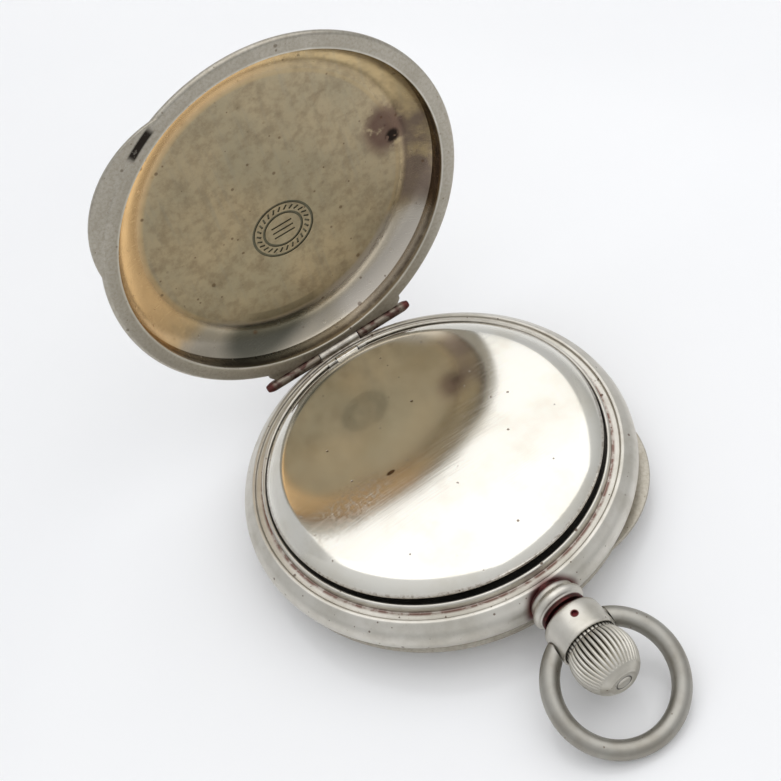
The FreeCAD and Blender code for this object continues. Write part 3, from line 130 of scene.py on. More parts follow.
def lathe(name, outline, count=ROUND_STEPS, place=None, radius_at=None):
    """A closed outline of (radius, height) turned about Z; radius_at may vary it round the turn."""
    points, faces, rings = [], [], []
    for radius, height in outline:
        first = len(points)
        if radius < 1e-6:
            points.append((0, 0, height))
            rings.append([first] * count)
            continue
        for step in range(count):
            angle = TURN * step / count
            here = radius_at(radius, height, angle) if radius_at else radius
            points.append((here * math.cos(angle), here * math.sin(angle), height))
        rings.append(list(range(first, first + count)))
    for ring, following in zip(rings, rings[1:] + rings[:1]):
        for step in range(count):
            after = (step + 1) % count
            corners = [ring[step], ring[after], following[after], following[step]]
            kept = [corner for place_in, corner in enumerate(corners) if corner not in corners[:place_in]]
            if len(kept) > 2:
                faces.append(kept)
    return solid(name, points, faces, place)


def rod(name, radius, start, end, count=48, end_radius=None, soft=0.0):
    """A round bar between two points, its ends softened."""
    start, end = Vector(start), Vector(end)
    length = (end - start).length
    far = radius if end_radius is None else end_radius
    outline = softened([(0, 0), (radius, 0, soft), (far, length, soft), (0, length)] if soft
                       else [(0, 0), (radius, 0), (far, length), (0, length)])
    turn = Vector((0, 0, 1)).rotation_difference(end - start).to_matrix().to_4x4()
    piece = lathe(name, outline, count)
    piece.data.transform(Matrix.Translation(start * MM) @ turn)
    return piece


def block(name, low, high):
    corners = [(x, y, z) for x in (low[0], high[0]) for y in (low[1], high[1]) for z in (low[2], high[2])]
    faces = [(0, 1, 3, 2), (4, 6, 7, 5), (0, 4, 5, 1), (2, 3, 7, 6), (0, 2, 6, 4), (1, 5, 7, 3)]
    return solid(name, corners, faces)


def prism(name, corners, low, high):
    """A flat outline in XY, raised from one height to another."""
    count = len(corners)
    points = [(x, y, height) for height in (low, high) for x, y in corners]
    sides = [(step, (step + 1) % count, (step + 1) % count + count, step + count) for step in range(count)]
    return solid(name, points, [tuple(range(count)), tuple(range(count, 2 * count)), *sides])


def settle(piece):
    """Makes the piece's modifiers part of its mesh."""
    bpy.context.view_layer.update()
    evaluated = piece.evaluated_get(bpy.context.evaluated_depsgraph_get())
    mesh = bpy.data.meshes.new_from_object(evaluated)
    piece.modifiers.clear()
    piece.data = mesh
    return piece


def combine(piece, operation, tools):
    """Adds or cuts tools, one after another, and removes them."""
    for tool in tools:
        modifier = piece.modifiers.new(tool.name, "BOOLEAN")
        modifier.operation = operation
        modifier.solver = "EXACT"
        modifier.object = tool
    settle(piece)
    for tool in tools:
        bpy.data.objects.remove(tool)
    return piece


def dented(piece, amount, scale, seed=0.0):
    """Moves points a little by smooth noise, as thin worn sheet is never quite true."""
    for vertex in piece.data.vertices:
        spot = vertex.co / (MM * scale) + Vector((seed, seed, seed))
        vertex.co += noise.noise_vector(spot) * amount * MM
    return piece


def paint(piece, mask, share_at):
    """Stores a mask from 0 to 1 on the piece's points, worked out from places in millimetres."""
    layer = piece.data.attributes.new(mask, "FLOAT", "POINT")
    values = [share_at(vertex.co / MM) for vertex in piece.data.vertices]
    layer.data.foreach_set("value", values)


def smooth(piece, sharp_angle=35):
    piece.data.shade_smooth()
    piece.data.set_sharp_from_angle(angle=math.radians(sharp_angle))
    return piece


def finished(piece, body, slot, *nodes):
    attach(piece, body)
    if nodes:
        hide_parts(*nodes)
    return piece


# --- places -------------------------------------------------------------------------------------


def shifted(x, y, z):
    return Matrix.Translation(Vector((x, y, z)) * MM)


def swung(hinge_y, hinge_z, degrees):
    """Opens a piece about a hinge along X by so many degrees."""
    turn = Matrix.Rotation(math.radians(degrees), 4, Vector((-1, 0, 0)))
    return shifted(0, hinge_y, hinge_z) @ turn @ shifted(0, -hinge_y, -hinge_z)


ALONG_PENDANT = shifted(0, 0, STEM_Z) @ Matrix.Rotation(math.radians(90), 4, "X")
BACK_COVER_PLACE = swung(HINGE_Y, BACK_RIM + HINGE_RISE, BACK_OPEN_ANGLE) @ shifted(0, 0, BACK_RIM)
FRONT_COVER_PLACE = shifted(0, 0, FRONT_RIM) @ Matrix.Rotation(math.pi, 4, "Y")
CUVETTE_PLACE = swung(*CUVETTE_HINGE, CUVETTE_AJAR)


# --- the case -----------------------------------------------------------------------------------


def band_cutters():
    """Room for the covers' barrels and the cuvette's, the pin, stem and catch openings."""
    tools = []
    for height in (BACK_RIM + HINGE_RISE, FRONT_RIM - HINGE_RISE):
        for side in (-1, 1):
            inner, outer = MIDDLE_HALF - HINGE_GAP / 2, HINGE_HALF + 0.3
            tools.append(rod("barrel_room", KNUCKLE + 0.12, (side * inner, HINGE_Y, height),
                             (side * outer, HINGE_Y, height)))
    tools.append(rod("cuvette_room", CUVETTE_KNUCKLE + 0.12, (-1.95, *CUVETTE_HINGE), (1.95, *CUVETTE_HINGE)))
    tools.append(rod("stem_room", STEM_BORE, (0, -20, STEM_Z), (0, -32, STEM_Z)))
    tools.append(block("catch_room", (-1.8, -26, FRONT_RIM - 0.45), (1.8, -22, FRONT_RIM + 1.85)))
    return tools


def case_band():
    """The band: a rolled outside, a shoulder each side, a bead, and the seat of the movement."""
    bead_radius = (NECK_OUTER - NECK_INNER) / 2 + 0.01
    outline = softened([
        (NECK_INNER, FRONT_RIM - 0.4, 0.08),
        (NECK_OUTER, FRONT_RIM - 0.4, 0.12),
        (NECK_OUTER, FRONT_RIM + 0.45, 0.15),
        (26.4, FRONT_RIM + 0.45, 0.12),
        (26.55, FRONT_RIM + 0.1, 0.1),
        (27.0, FRONT_RIM + 0.1, 0.15),
        (27.3, FRONT_RIM + 0.4, 0.15),
        *arc_between((BAND_EDGE, FRONT_RIM + 0.8), (BAND_EDGE, BACK_RIM - 0.8), BAND_BULGE, 1, 20),
        (27.3, BACK_RIM - 0.4, 0.15),
        (27.0, BACK_RIM - 0.1, 0.15),
        (26.55, BACK_RIM - 0.1, 0.1),
        (26.4, BACK_RIM - 0.45, 0.12),
        (NECK_OUTER, BACK_RIM - 0.45, 0.15),
        *arc_between((NECK_OUTER, BEAD_TOP), (NECK_INNER, BEAD_TOP), bead_radius, 1, 8),
        (NECK_INNER, CUVETTE_SEAT, 0.05),
        (22.6, CUVETTE_SEAT, 0.1),
        (22.6, LEDGE_TOP),
        (21.4, LEDGE_TOP, 0.05),
        (21.4, LEDGE_TOP - 0.5),
        (22.2, LEDGE_TOP - 0.5),
        (22.2, FRONT_RIM + 2.4),
        (23.6, FRONT_RIM + 2.4),
        (23.6, FRONT_RIM + 0.8),
        (22.2, FRONT_RIM + 0.8, 0.05),
        (22.2, FRONT_RIM + 0.6),
        (NECK_INNER, FRONT_RIM + 0.6),
    ])
    piece = dented(lathe("band", outline), 0.012, 9)
    combine(piece, "DIFFERENCE", band_cutters())
    ears = []
    for height in (BACK_RIM + HINGE_RISE, FRONT_RIM - HINGE_RISE):
        start, end = (-MIDDLE_HALF, HINGE_Y, height), (MIDDLE_HALF, HINGE_Y, height)
        ears.append(rod("knuckle", KNUCKLE, start, end, soft=0.07))
    for left in (-3.4, 2.0):
        start, end = (left, *CUVETTE_HINGE), (left + 1.4, *CUVETTE_HINGE)
        ears.append(rod("ear", CUVETTE_KNUCKLE, start, end, 32, soft=0.05))
    combine(piece, "UNION", ears)
    return finished(smooth(piece), "case", "case", "case_band")


def barrel(side):
    """One hinge barrel of a cover, thinning to a rounded tip."""
    near, tip, taper = MIDDLE_HALF + HINGE_GAP, HINGE_HALF, 0.9
    outline = softened([
        (0, near),
        (KNUCKLE, near, 0.08),
        (KNUCKLE, tip - taper, 0.6),
        (0.5, tip, 0.25),
        (0, tip),
    ])
    piece = lathe("barrel", outline, 48)
    piece.data.transform(shifted(0, HINGE_Y, HINGE_RISE) @ Matrix.Rotation(math.radians(90) * side, 4, "Y"))
    return piece


def thumb_lip():
    """The lip a thumbnail catches: an eccentric disc's edge, outside the band only."""
    azimuth = math.radians(LIP_AZIMUTH)
    inner = COVER_RADIUS - 1.0
    outline = softened([
        (0, LIP_LOW),
        (LIP_RADIUS, LIP_LOW, 0.15),
        (LIP_RADIUS, LIP_HIGH, 0.3),
        (0, LIP_HIGH),
    ])
    piece = lathe("lip", outline, 96)
    piece.data.transform(shifted(LIP_OFFSET * math.cos(azimuth), LIP_OFFSET * math.sin(azimuth), 0))
    return combine(piece, "DIFFERENCE", [rod("lip_limit", inner, (0, 0, -1), (0, 0, 2), 96)])


def cover(name, depth, place):
    """A cover in its own frame: the rim at z = 0, the dish rising to depth, the hinge at +Y."""
    floor = depth - COVER_SHEET
    foot = (COVER_OPENING - 0.1, depth - 2.5)
    outline = softened([
        (COVER_OPENING, 0, 0.1),
        (COVER_RADIUS - 0.3, 0, 0.2),
        (COVER_RADIUS, 0.3, 0.15),
        (COVER_RADIUS, 0.85, 0.2),
        (COVER_RADIUS - 0.5, 1.25, 0.1),
        *arc_between((26.2, depth - 3.04), (COVER_FLAT + 0.1, depth), COVE_RADIUS + COVER_SHEET, 1, 24),
        (0, depth),
        (0, floor),
        *arc_between((COVER_FLAT, floor), foot, COVE_RADIUS, -1, 24),
    ])
    piece = dented(lathe(name, outline), 0.02, 11, len(name))
    slot_half = MIDDLE_HALF + HINGE_GAP
    combine(piece, "DIFFERENCE", [
        block("beyond", (-30, HINGE_Y, -2), (30, HINGE_Y + 5, 6)),
        block("slot", (-slot_half, HINGE_Y - KNUCKLE - 0.15, -1.2), (slot_half, HINGE_Y + 5.15, 2.8)),
    ])
    web_back, webs = HINGE_Y - 3.2, []
    corners = ((slot_half, web_back), (11.9, web_back), (11.9, 25.4), (10.4, HINGE_Y), (slot_half, HINGE_Y))
    for side in (-1, 1):
        web = prism("web", [(side * x, y) for x, y in corners], 0.02, 0.95)
        webs.append(combine(web, "DIFFERENCE", [rod("web_limit", 26.3, (0, 0, -1), (0, 0, 2), ROUND_STEPS)]))
    combine(piece, "UNION", webs)
    combine(piece, "UNION", [barrel(-1), barrel(1)])
    combine(piece, "UNION", [thumb_lip()])
    if name == "back_lid":
        engrave(piece, floor)
    piece.matrix_world = place
    return smooth(piece)


def ellipse_ring(name, centre, half_sizes, width, low, high, steps=72):
    """A flat oval ring between two heights, as a cutter."""
    points, faces = [], []
    for height in (low, high):
        for inset in (0, width):
            for step in range(steps):
                angle = TURN * step / steps
                points.append((centre[0] + (half_sizes[0] - inset) * math.cos(angle),
                               centre[1] + (half_sizes[1] - inset) * math.sin(angle), height))
    for step in range(steps):
        after = (step + 1) % steps
        rings = (0, steps, 3 * steps, 2 * steps)
        for ring, following in zip(rings, rings[1:] + rings[:1]):
            faces.append((ring + step, ring + after, following + after, following + step))
    return solid(name, points, faces)


def engrave(piece, floor):
    """A plain oval cartouche pressed in the cover's floor, with a hatched border and no lettering."""
    centre, low, high = SEAL_PLACE, floor - 0.1, floor + SEAL_DEPTH
    grooves = [ellipse_ring("groove", centre, sizes, 0.4, low, high) for sizes in ((5.0, 4.6), (3.3, 2.9))]
    combine(piece, "DIFFERENCE", grooves)
    hatches = []
    for tick in range(26):
        angle = TURN * tick / 26
        spot = Vector((centre[0] + 3.95 * math.cos(angle), centre[1] + 3.55 * math.sin(angle), 0))
        hatch = block("hatch", (-0.42, -0.15, low), (0.42, 0.15, high))
        hatch.data.transform(Matrix.Translation(spot * MM) @ Matrix.Rotation(angle + 0.5, 4, "Z"))
        hatches.append(hatch)
    for row in (-0.9, 0.0, 0.9):
        hatches.append(block("bar", (centre[0] - 1.7, centre[1] + row - 0.14, low),
                             (centre[0] + 1.7, centre[1] + row + 0.14, high)))
    combine(piece, "DIFFERENCE", [merged(hatches)])


def back_cover():
    return finished(cover("back_lid", BACK_DEPTH, BACK_COVER_PLACE), "back_cover", "case", "back_cover")


def front_cover():
    return finished(cover("front_lid", FRONT_DEPTH, FRONT_COVER_PLACE), "front_cover", "case", "front_cover")


def cuvette():
    """The inner dust cover: a shallow polished cap whose edge rolls down to a flat rim."""
    lean = CAP_EDGE / CAP_RADIUS
    upright = math.sqrt(1 - lean**2)
    cap_z = CUVETTE_TOP - CAP_RADIUS + math.sqrt(CAP_RADIUS**2 - CAP_EDGE**2)
    centre = (CAP_EDGE - ROLL_RADIUS * lean, cap_z - ROLL_RADIUS * upright)
    foot_z = CUVETTE_SEAT + 0.7
    foot = (centre[0] + math.sqrt(ROLL_RADIUS**2 - (foot_z - centre[1]) ** 2), foot_z)
    under, bore = ROLL_RADIUS - CUVETTE_SHEET, 22.9
    lower = (centre[0] + under * lean, centre[1] + under * upright)
    mouth = (bore, centre[1] + math.sqrt(under**2 - (bore - centre[0]) ** 2))
    outline = softened([
        (bore, CUVETTE_SEAT + 0.05),
        (CUVETTE_RADIUS - 0.15, CUVETTE_SEAT + 0.05),
        (CUVETTE_RADIUS, CUVETTE_SEAT + 0.2, 0.08),
        (CUVETTE_RADIUS, foot_z - 0.15, 0.08),
        *arc_between(foot, (CAP_EDGE, cap_z), ROLL_RADIUS, 1, 20),
        *arc_between((CAP_EDGE, cap_z), (0, CUVETTE_TOP), CAP_RADIUS, 1, 16)[1:],
        *arc_between((0, CUVETTE_TOP - CUVETTE_SHEET), lower, CAP_RADIUS - CUVETTE_SHEET, -1, 16),
        *arc_between(lower, mouth, under, -1, 8)[1:],
    ])
    piece = dented(lathe("dust_cover", outline), 0.012, 13, 4)
    room = CUVETTE_KNUCKLE + 0.1
    rooms = [rod("ear_room", room, (left, *CUVETTE_HINGE), (left + 2.1, *CUVETTE_HINGE), 32)
             for left in (-4, 1.9)]
    combine(piece, "DIFFERENCE", rooms)
    middle = rod("middle", CUVETTE_KNUCKLE, (-1.8, *CUVETTE_HINGE), (1.8, *CUVETTE_HINGE), 32)
    combine(piece, "UNION", [middle])
    piece.matrix_world = CUVETTE_PLACE
    return finished(smooth(piece), "cuvette", "case", "cuvette")


def pendant_neck():
    """The stem of the pendant, with its rounded collar."""
    outline = softened([
        (STEM_BORE, 23.5),
        (1.6, 23.5),
        (1.6, 26.6),
        (2.05, 26.6),
        (2.05, 27.75, 0.3),
        (3.3, 28.1, 0.2),
        *arc_between((3.3, 28.9), (3.5, 29.3), 0.5, -1, 5),
        *arc_between((3.5, 29.3), (3.5, 30.6), 0.78, 1, 16)[1:],
        *arc_between((3.5, 30.6), (3.2, 31.0), 0.5, -1, 5)[1:],
        (3.3, 31.15, 0.08),
        (3.3, 31.5, 0.1),
        (2.7, 31.65, 0.1),
        (2.7, SLEEVE_START),
        (STEM_BORE, SLEEVE_START),
    ])
    piece = lathe("pendant", outline, 128, ALONG_PENDANT)
    return finished(smooth(piece), "case", "case", "pendant_neck")


def pendant_sleeve():
    """The turned sleeve that holds the bow's pegs and takes the crown's skirt."""
    outline = softened([
        (STEM_BORE, SLEEVE_START),
        (SLEEVE_RADIUS - 0.5, SLEEVE_START, 0.15),
        (SLEEVE_RADIUS - 0.1, SLEEVE_START + 0.3, 0.2),
        (SLEEVE_RADIUS, SLEEVE_START + 0.8, 0.3),
        (SLEEVE_RADIUS, SLEEVE_END - 0.35, 0.2),
        (SLEEVE_RADIUS - 0.15, SLEEVE_END, 0.1),
        (SLEEVE_MOUTH, SLEEVE_END, 0.08),
        (SLEEVE_MOUTH, SLEEVE_END - 1.3),
        (STEM_BORE, SLEEVE_END - 1.3),
    ])
    piece = lathe("sleeve", outline, 160)
    piece.data.transform(ALONG_PENDANT)
    tools = []
    for side in (-1, 1):
        inner, outer = side * 3.1, side * (SLEEVE_RADIUS + 1)
        tools.append(rod("socket", BOW_PEG + 0.08, (inner, -BOW_PIVOT, STEM_Z), (outer, -BOW_PIVOT, STEM_Z)))
    tools.append(rod("screw_room", 0.4, (0, -34.3, STEM_Z + 2.6), (0, -34.3, STEM_Z + 5.6), 40))
    combine(piece, "DIFFERENCE", tools)
    return finished(smooth(piece), "case", "case", "pendant_sleeve")


def flute_share(height):
    """How deep the crown's flutes are along it: full at the sleeve, gone at the dome."""
    opening = min(max((height - 37.35) / 0.25, 0), 1)
    closing = min(max((43.6 - height) / 3.4, 0), 1)
    return opening * closing**0.8


def fluted(radius, height, angle):
    if radius < 3.2 or height < 37.3:
        return radius
    valley = (1 - abs(math.sin(angle * CROWN_FLUTES / 2))) ** 1.5
    return radius - 0.5 * flute_share(height) * valley


def crown():
    """The winding crown: cusped flutes that fade into a smooth dome with a small flat button."""
    grip = [
        (SLEEVE_MOUTH - 0.12, 37.34),
        (SLEEVE_MOUTH + 0.02, 37.42),
        *arc_between((4.0, 37.7), (3.5, 42.7), 5.2, 1, 24),
        *arc_between((3.5, 42.7), (2.4, 43.72), 2.6, 1, 12)[1:],
        (2.15, 43.86),
        (2.05, 43.98),
        (1.9, CROWN_END),
        (1.25, CROWN_END),
        (1.18, CROWN_END - 0.07),
        (1.05, CROWN_END - 0.07),
        (0.98, CROWN_END),
    ]
    outline = [(0, 36.2), (3.6, 36.2), (SLEEVE_MOUTH - 0.12, 36.3), *grip, (0, CROWN_END)]
    piece = lathe("winding_crown", outline, CROWN_FLUTES * 14, ALONG_PENDANT, fluted)

    # Grime and painted shade: how dark each point of the flutes is painted, deepest in the valleys and
    # towards the sleeve.
    def darkening(spot):
        radius = math.hypot(spot.x, spot.y)
        valley = (1 - abs(math.sin(math.atan2(spot.y, spot.x) * CROWN_FLUTES / 2))) ** 1.6
        near_sleeve = min(max((43.0 - spot.z) / 5.0, 0), 1) ** 0.8
        return valley * near_sleeve if radius > 3.0 else 0

    paint(piece, "darkening", darkening)
    return finished(smooth(piece, 55), "crown", "case", "crown")


def bow():
    """The bow: a ring of round wire, cut off flat beside the sleeve and pegged to its cross axis."""
    flat = SLEEVE_RADIUS + BOW_GAP
    start = math.asin(flat / BOW_RADIUS) - 0.3
    count, stations = 48, 150
    points, faces = [], []
    for station in range(stations):
        turn = start + (TURN - 2 * start) * station / (stations - 1)
        for step in range(count):
            angle = TURN * step / count
            reach = BOW_RADIUS + BOW_WIRE * math.cos(angle)
            along = BOW_CENTRE - reach * math.cos(turn)
            points.append((reach * math.sin(turn), BOW_WIRE * math.sin(angle), along))
    for station in range(stations - 1):
        for step in range(count):
            after = (step + 1) % count
            first, second = station * count, (station + 1) * count
            faces.append((first + step, first + after, second + after, second + step))
    faces.append(tuple(range(count)))
    faces.append(tuple(range((stations - 1) * count, stations * count)))
    piece = solid("bow_ring", points, faces)
    combine(piece, "DIFFERENCE", [block("sleeve_room", (-flat, -3, -4), (flat, 3, 4))])
    peg_end = flat + 0.2
    pegs = [rod("peg", BOW_PEG, (side * PEG_START, 0, 0), (side * peg_end, 0, 0), soft=0.08)
            for side in (-1, 1)]
    combine(piece, "UNION", pegs)
    droop = Matrix.Rotation(math.radians(90 + BOW_DROOP), 4, "X")
    piece.matrix_world = shifted(0, -BOW_PIVOT, STEM_Z) @ droop
    return finished(smooth(piece), "bow", "case", "bow")


# --- dial print ---------------------------------------------------------------------------------


def merged(pieces, name="merged"):
    """One mesh from several pieces that don't touch."""
    work = bmesh.new()
    for piece in pieces:
        work.from_mesh(piece.data)
    mesh = bpy.data.meshes.new(name)
    work.to_mesh(mesh)
    work.free()
    for piece in pieces:
        bpy.data.objects.remove(piece)
    return show(name, mesh)


def stroke(start, end, wide):
    """A thin printed line on the dial, standing proud of the enamel."""
    a, b = Vector(start), Vector(end)
    across = (b - a).orthogonal().normalized() * wide / 2
    low, high = DIAL_FACE - 0.03, DIAL_FACE + 0.02
    corners = [a + across, b + across, b - across, a - across]
    points = [(corner.x, corner.y, height) for height in (low, high) for corner in corners]
    faces = [(0, 1, 2, 3), (7, 6, 5, 4)] + [(i, (i + 1) % 4, (i + 1) % 4 + 4, i + 4) for i in range(4)]
    return solid("stroke", points, faces)


ROMAN = ("XII", "I", "II", "III", "IIII", "V", "VI", "VII", "VIII", "IX", "X", "XI")


def numeral_strokes(text):
    """Lines of a Roman numeral, centred on x = 0 and running from y = -1.5 to 1.5: (x, y, x, y, width)."""
    widths = {"I": 0.85, "V": 1.7, "X": 1.7}
    total = sum(widths[letter] for letter in text)
    left, lines = -total / 2, []
    for letter in text:
        middle = left + widths[letter] / 2
        if letter == "I":
            lines.append((middle, -1.5, middle, 1.5, 0.42))
        elif letter == "V":
            lines.append((middle - 0.6, 1.5, middle, -1.5, 0.42))
            lines.append((middle + 0.6, 1.5, middle, -1.5, 0.16))
        else:
            lines.append((middle - 0.6, 1.5, middle + 0.6, -1.5, 0.42))
            lines.append((middle + 0.6, 1.5, middle - 0.6, -1.5, 0.16))
        left += widths[letter]
    return lines


def dial_print():
    """Roman numerals and a minute track, seen from the front: twelve is at -X."""
    strokes = []

    def lay(line, azimuth, radius, centre=(0, 0)):
        """Places a line drawn upright at the top of a dial, seen from below."""
        out = Vector((math.cos(azimuth), math.sin(azimuth)))
        right = Vector((out.y, -out.x)) * -1
        ends = [Vector(centre) + out * (radius + line[at + 1]) + right * line[at] for at in (0, 2)]
        strokes.append(stroke(ends[0], ends[1], line[4]))

    for hour, text in enumerate(ROMAN):
        azimuth = math.pi + TURN * hour / 12
        for line in numeral_strokes(text):
            lay(line, azimuth, 16.6)
    for minute in range(60):
        tall, wide = (0.55, 0.28) if minute % 5 == 0 else (0.4, 0.1)
        lay((0, -tall, 0, tall, wide), TURN * minute / 60, 20.1)
    return finished(merged(strokes, "dial_print"), "case", "enamel")


# --- materials ----------------------------------------------------------------------------------


def rgb(red, green, blue):
    """A colour as the eye reads it, 0 to 255, made linear."""
    return tuple(((value / 255 + 0.055) / 1.055) ** 2.4 if value > 10 else value / 255 / 12.92
                 for value in (red, green, blue)) + (1.0,)


class Finish:
    """A node material, worked out in millimetres of the piece's own coordinates."""

    def __init__(self, name, **shader):
        self.material = bpy.data.materials.new(name)
        self.material.use_nodes = True
        self.tree = self.material.node_tree
        self.surface = self.tree.nodes["Principled BSDF"]
        for socket, value in shader.items():
            self.surface.inputs[socket.replace("_", " ")].default_value = value
        coordinates = self.tree.nodes.new("ShaderNodeTexCoord").outputs["Object"]
        scaled = self.tree.nodes.new("ShaderNodeVectorMath")
        scaled.operation = "SCALE"
        scaled.inputs["Scale"].default_value = 1 / MM
        self.tree.links.new(coordinates, scaled.inputs[0])
        self.spot = scaled.outputs[0]
        parts = self.tree.nodes.new("ShaderNodeSeparateXYZ")
        self.tree.links.new(self.spot, parts.inputs[0])
        self.x, self.y, self.z = parts.outputs

    def feed(self, socket, value):
        if isinstance(value, bpy.types.NodeSocket):
            self.tree.links.new(value, socket)
        else:
            socket.default_value = value

    def math(self, operation, first, second=0.0, third=0.0, clamp=False):
        node = self.tree.nodes.new("ShaderNodeMath")
        node.operation = operation
        node.use_clamp = clamp
        for socket, value in zip(node.inputs, (first, second, third)):
            self.feed(socket, value)
        return node.outputs[0]

    def times(self, first, *others):
        for other in others:
            first = self.math("MULTIPLY", first, other)
        return first

    def either(self, first, *others):
        for other in others:
            first = self.math("MAXIMUM", first, other)
        return first

    def less(self, first, second):
        return self.math("SUBTRACT", first, second)

    def hypot(self, first, second):
        return self.math("SQRT", self.math("ADD", self.times(first, first), self.times(second, second)))

    def radius(self):
        return self.hypot(self.x, self.y)

    def band(self, value, low, high, start=0.0, end=1.0):
        """value eased from start, at low, to end, at high."""
        node = self.tree.nodes.new("ShaderNodeMapRange")
        node.interpolation_type = "SMOOTHSTEP"
        sockets = ("Value", "From Min", "From Max", "To Min", "To Max")
        for socket, setting in zip(sockets, (value, low, high, start, end)):
            self.feed(node.inputs[socket], setting)
        return node.outputs[0]

    def near(self, centre, radius, soft=0.5, squeeze=(1, 1, 1)):
        """1 at a point, 0 beyond radius."""
        offsets = []
        for part, at, scale in zip((self.x, self.y, self.z), centre, squeeze):
            offsets.append(self.times(self.less(part, at), scale))
        distance = self.hypot(self.hypot(offsets[0], offsets[1]), offsets[2])
        return self.band(distance, radius * (1 - soft), radius, 1.0, 0.0)

    def ring(self, radius, height, width):
        """1 along a turned corner at (radius, height), fading over width."""
        distance = self.hypot(self.less(self.radius(), radius), self.less(self.z, height))
        return self.band(distance, 0.0, width, 1.0, 0.0)

    def along_rim(self, azimuth, radius, half_length, half_width):
        """1 in a short streak that follows the rim at an azimuth."""
        turn = math.radians(azimuth)
        outwards = self.math("MULTIPLY_ADD", self.x, math.cos(turn), self.times(self.y, math.sin(turn)))
        sideways = self.math("MULTIPLY_ADD", self.x, -math.sin(turn), self.times(self.y, math.cos(turn)))
        off = self.math("ABSOLUTE", self.less(self.radius(), radius))
        wide = self.band(off, half_width * 0.55, half_width, 1.0, 0.0)
        tall = self.band(self.math("ABSOLUTE", sideways), half_length * 0.6, half_length, 1.0, 0.0)
        return self.times(wide, tall, self.band(outwards, 0.0, 1.0))

    def stretched(self, stretch, turn=0.0):
        node = self.tree.nodes.new("ShaderNodeMapping")
        node.inputs["Scale"].default_value = stretch
        node.inputs["Rotation"].default_value = (0, 0, turn)
        self.feed(node.inputs["Vector"], self.spot)
        return node.outputs[0]

    def noise(self, size, detail=3.0, rough=0.55, stretch=None, turn=0.0, shift=0.0):
        """Noise about size millimetres across, around 0.5."""
        node = self.tree.nodes.new("ShaderNodeTexNoise")
        node.noise_dimensions = "4D"
        node.inputs["W"].default_value = shift
        node.inputs["Scale"].default_value = 1 / size
        node.inputs["Detail"].default_value = detail
        node.inputs["Roughness"].default_value = rough
        self.feed(node.inputs["Vector"], self.stretched(stretch, turn) if stretch else self.spot)
        return node.outputs["Fac"]

    def patches(self, size, low, high, **more):
        return self.band(self.noise(size, **more), low, high)

    def specks(self, size, share, reach=0.22, shift=0.0):
        """Small spots: of a grid's cells, share of them carry one."""
        node = self.tree.nodes.new("ShaderNodeTexVoronoi")
        node.inputs["Scale"].default_value = 1 / size
        node.inputs["Randomness"].default_value = 1.0
        moved = self.tree.nodes.new("ShaderNodeVectorMath")
        moved.operation = "ADD"
        moved.inputs[1].default_value = (shift, shift * 1.7, shift * 0.6)
        self.feed(moved.inputs[0], self.spot)
        self.feed(node.inputs["Vector"], moved.outputs[0])
        picked = self.tree.nodes.new("ShaderNodeSeparateColor")
        self.feed(picked.inputs[0], node.outputs["Color"])
        chosen = self.math("LESS_THAN", picked.outputs[0], share)
        wide = self.math("MULTIPLY_ADD", picked.outputs[1], reach, reach * 0.3)
        inside = self.band(self.math("DIVIDE", node.outputs["Distance"], wide), 0.55, 1.0, 1.0, 0.0)
        return self.times(chosen, inside)

    def scratches(self, thin, long, turn, share=0.6, shift=0.0):
        """Hairlines along one direction: 1 in the line."""
        lines = self.noise(1.0, 2.0, 0.5, (1 / long, 1 / thin, 1 / long), turn, shift)
        return self.band(lines, share, share + 0.09)

    def mix(self, share, first, second):
        node = self.tree.nodes.new("ShaderNodeMix")
        node.data_type = "RGBA"
        self.feed(node.inputs["Factor"], share)
        self.feed(node.inputs["A"], first)
        self.feed(node.inputs["B"], second)
        return node.outputs["Result"]

    def layers(self, base, *coats):
        """A base colour with (mask, colour) coats laid over it in turn."""
        for mask, colour in coats:
            base = self.mix(mask, base, colour)
        return base

    def mask(self, name):
        node = self.tree.nodes.new("ShaderNodeAttribute")
        node.attribute_name = name
        return node.outputs["Fac"]

    def colour(self, value):
        self.feed(self.surface.inputs["Base Color"], value)

    def rough(self, value):
        self.feed(self.surface.inputs["Roughness"], value)

    def bump(self, *heights):
        """Surface relief: (height mask, millimetres) pairs."""
        total = 0.0
        for value, height in heights:
            total = self.math("MULTIPLY_ADD", value, height, total)
        node = self.tree.nodes.new("ShaderNodeBump")
        node.inputs["Distance"].default_value = MM
        self.feed(node.inputs["Height"], total)
        self.feed(self.surface.inputs["Normal"], node.outputs[0])

    def cover(self, *pieces):
        for piece in pieces:
            if piece.data.materials:
                for index in range(len(piece.material_slots)):
                    piece.material_slots[index].material = self.material
            else:
                piece.data.materials.append(self.material)


SILVER, PALE = rgb(206, 202, 192), rgb(218, 214, 205)
# The near-black colour serves soot in stains and marks, and painted shade inside the band.
DULL, BROWN, SOOT_AND_SHADE = rgb(158, 150, 132), rgb(92, 66, 44), rgb(34, 28, 24)
ROUGE, TAN, OLIVE = rgb(84, 24, 26), rgb(186, 169, 138), rgb(168, 158, 133)


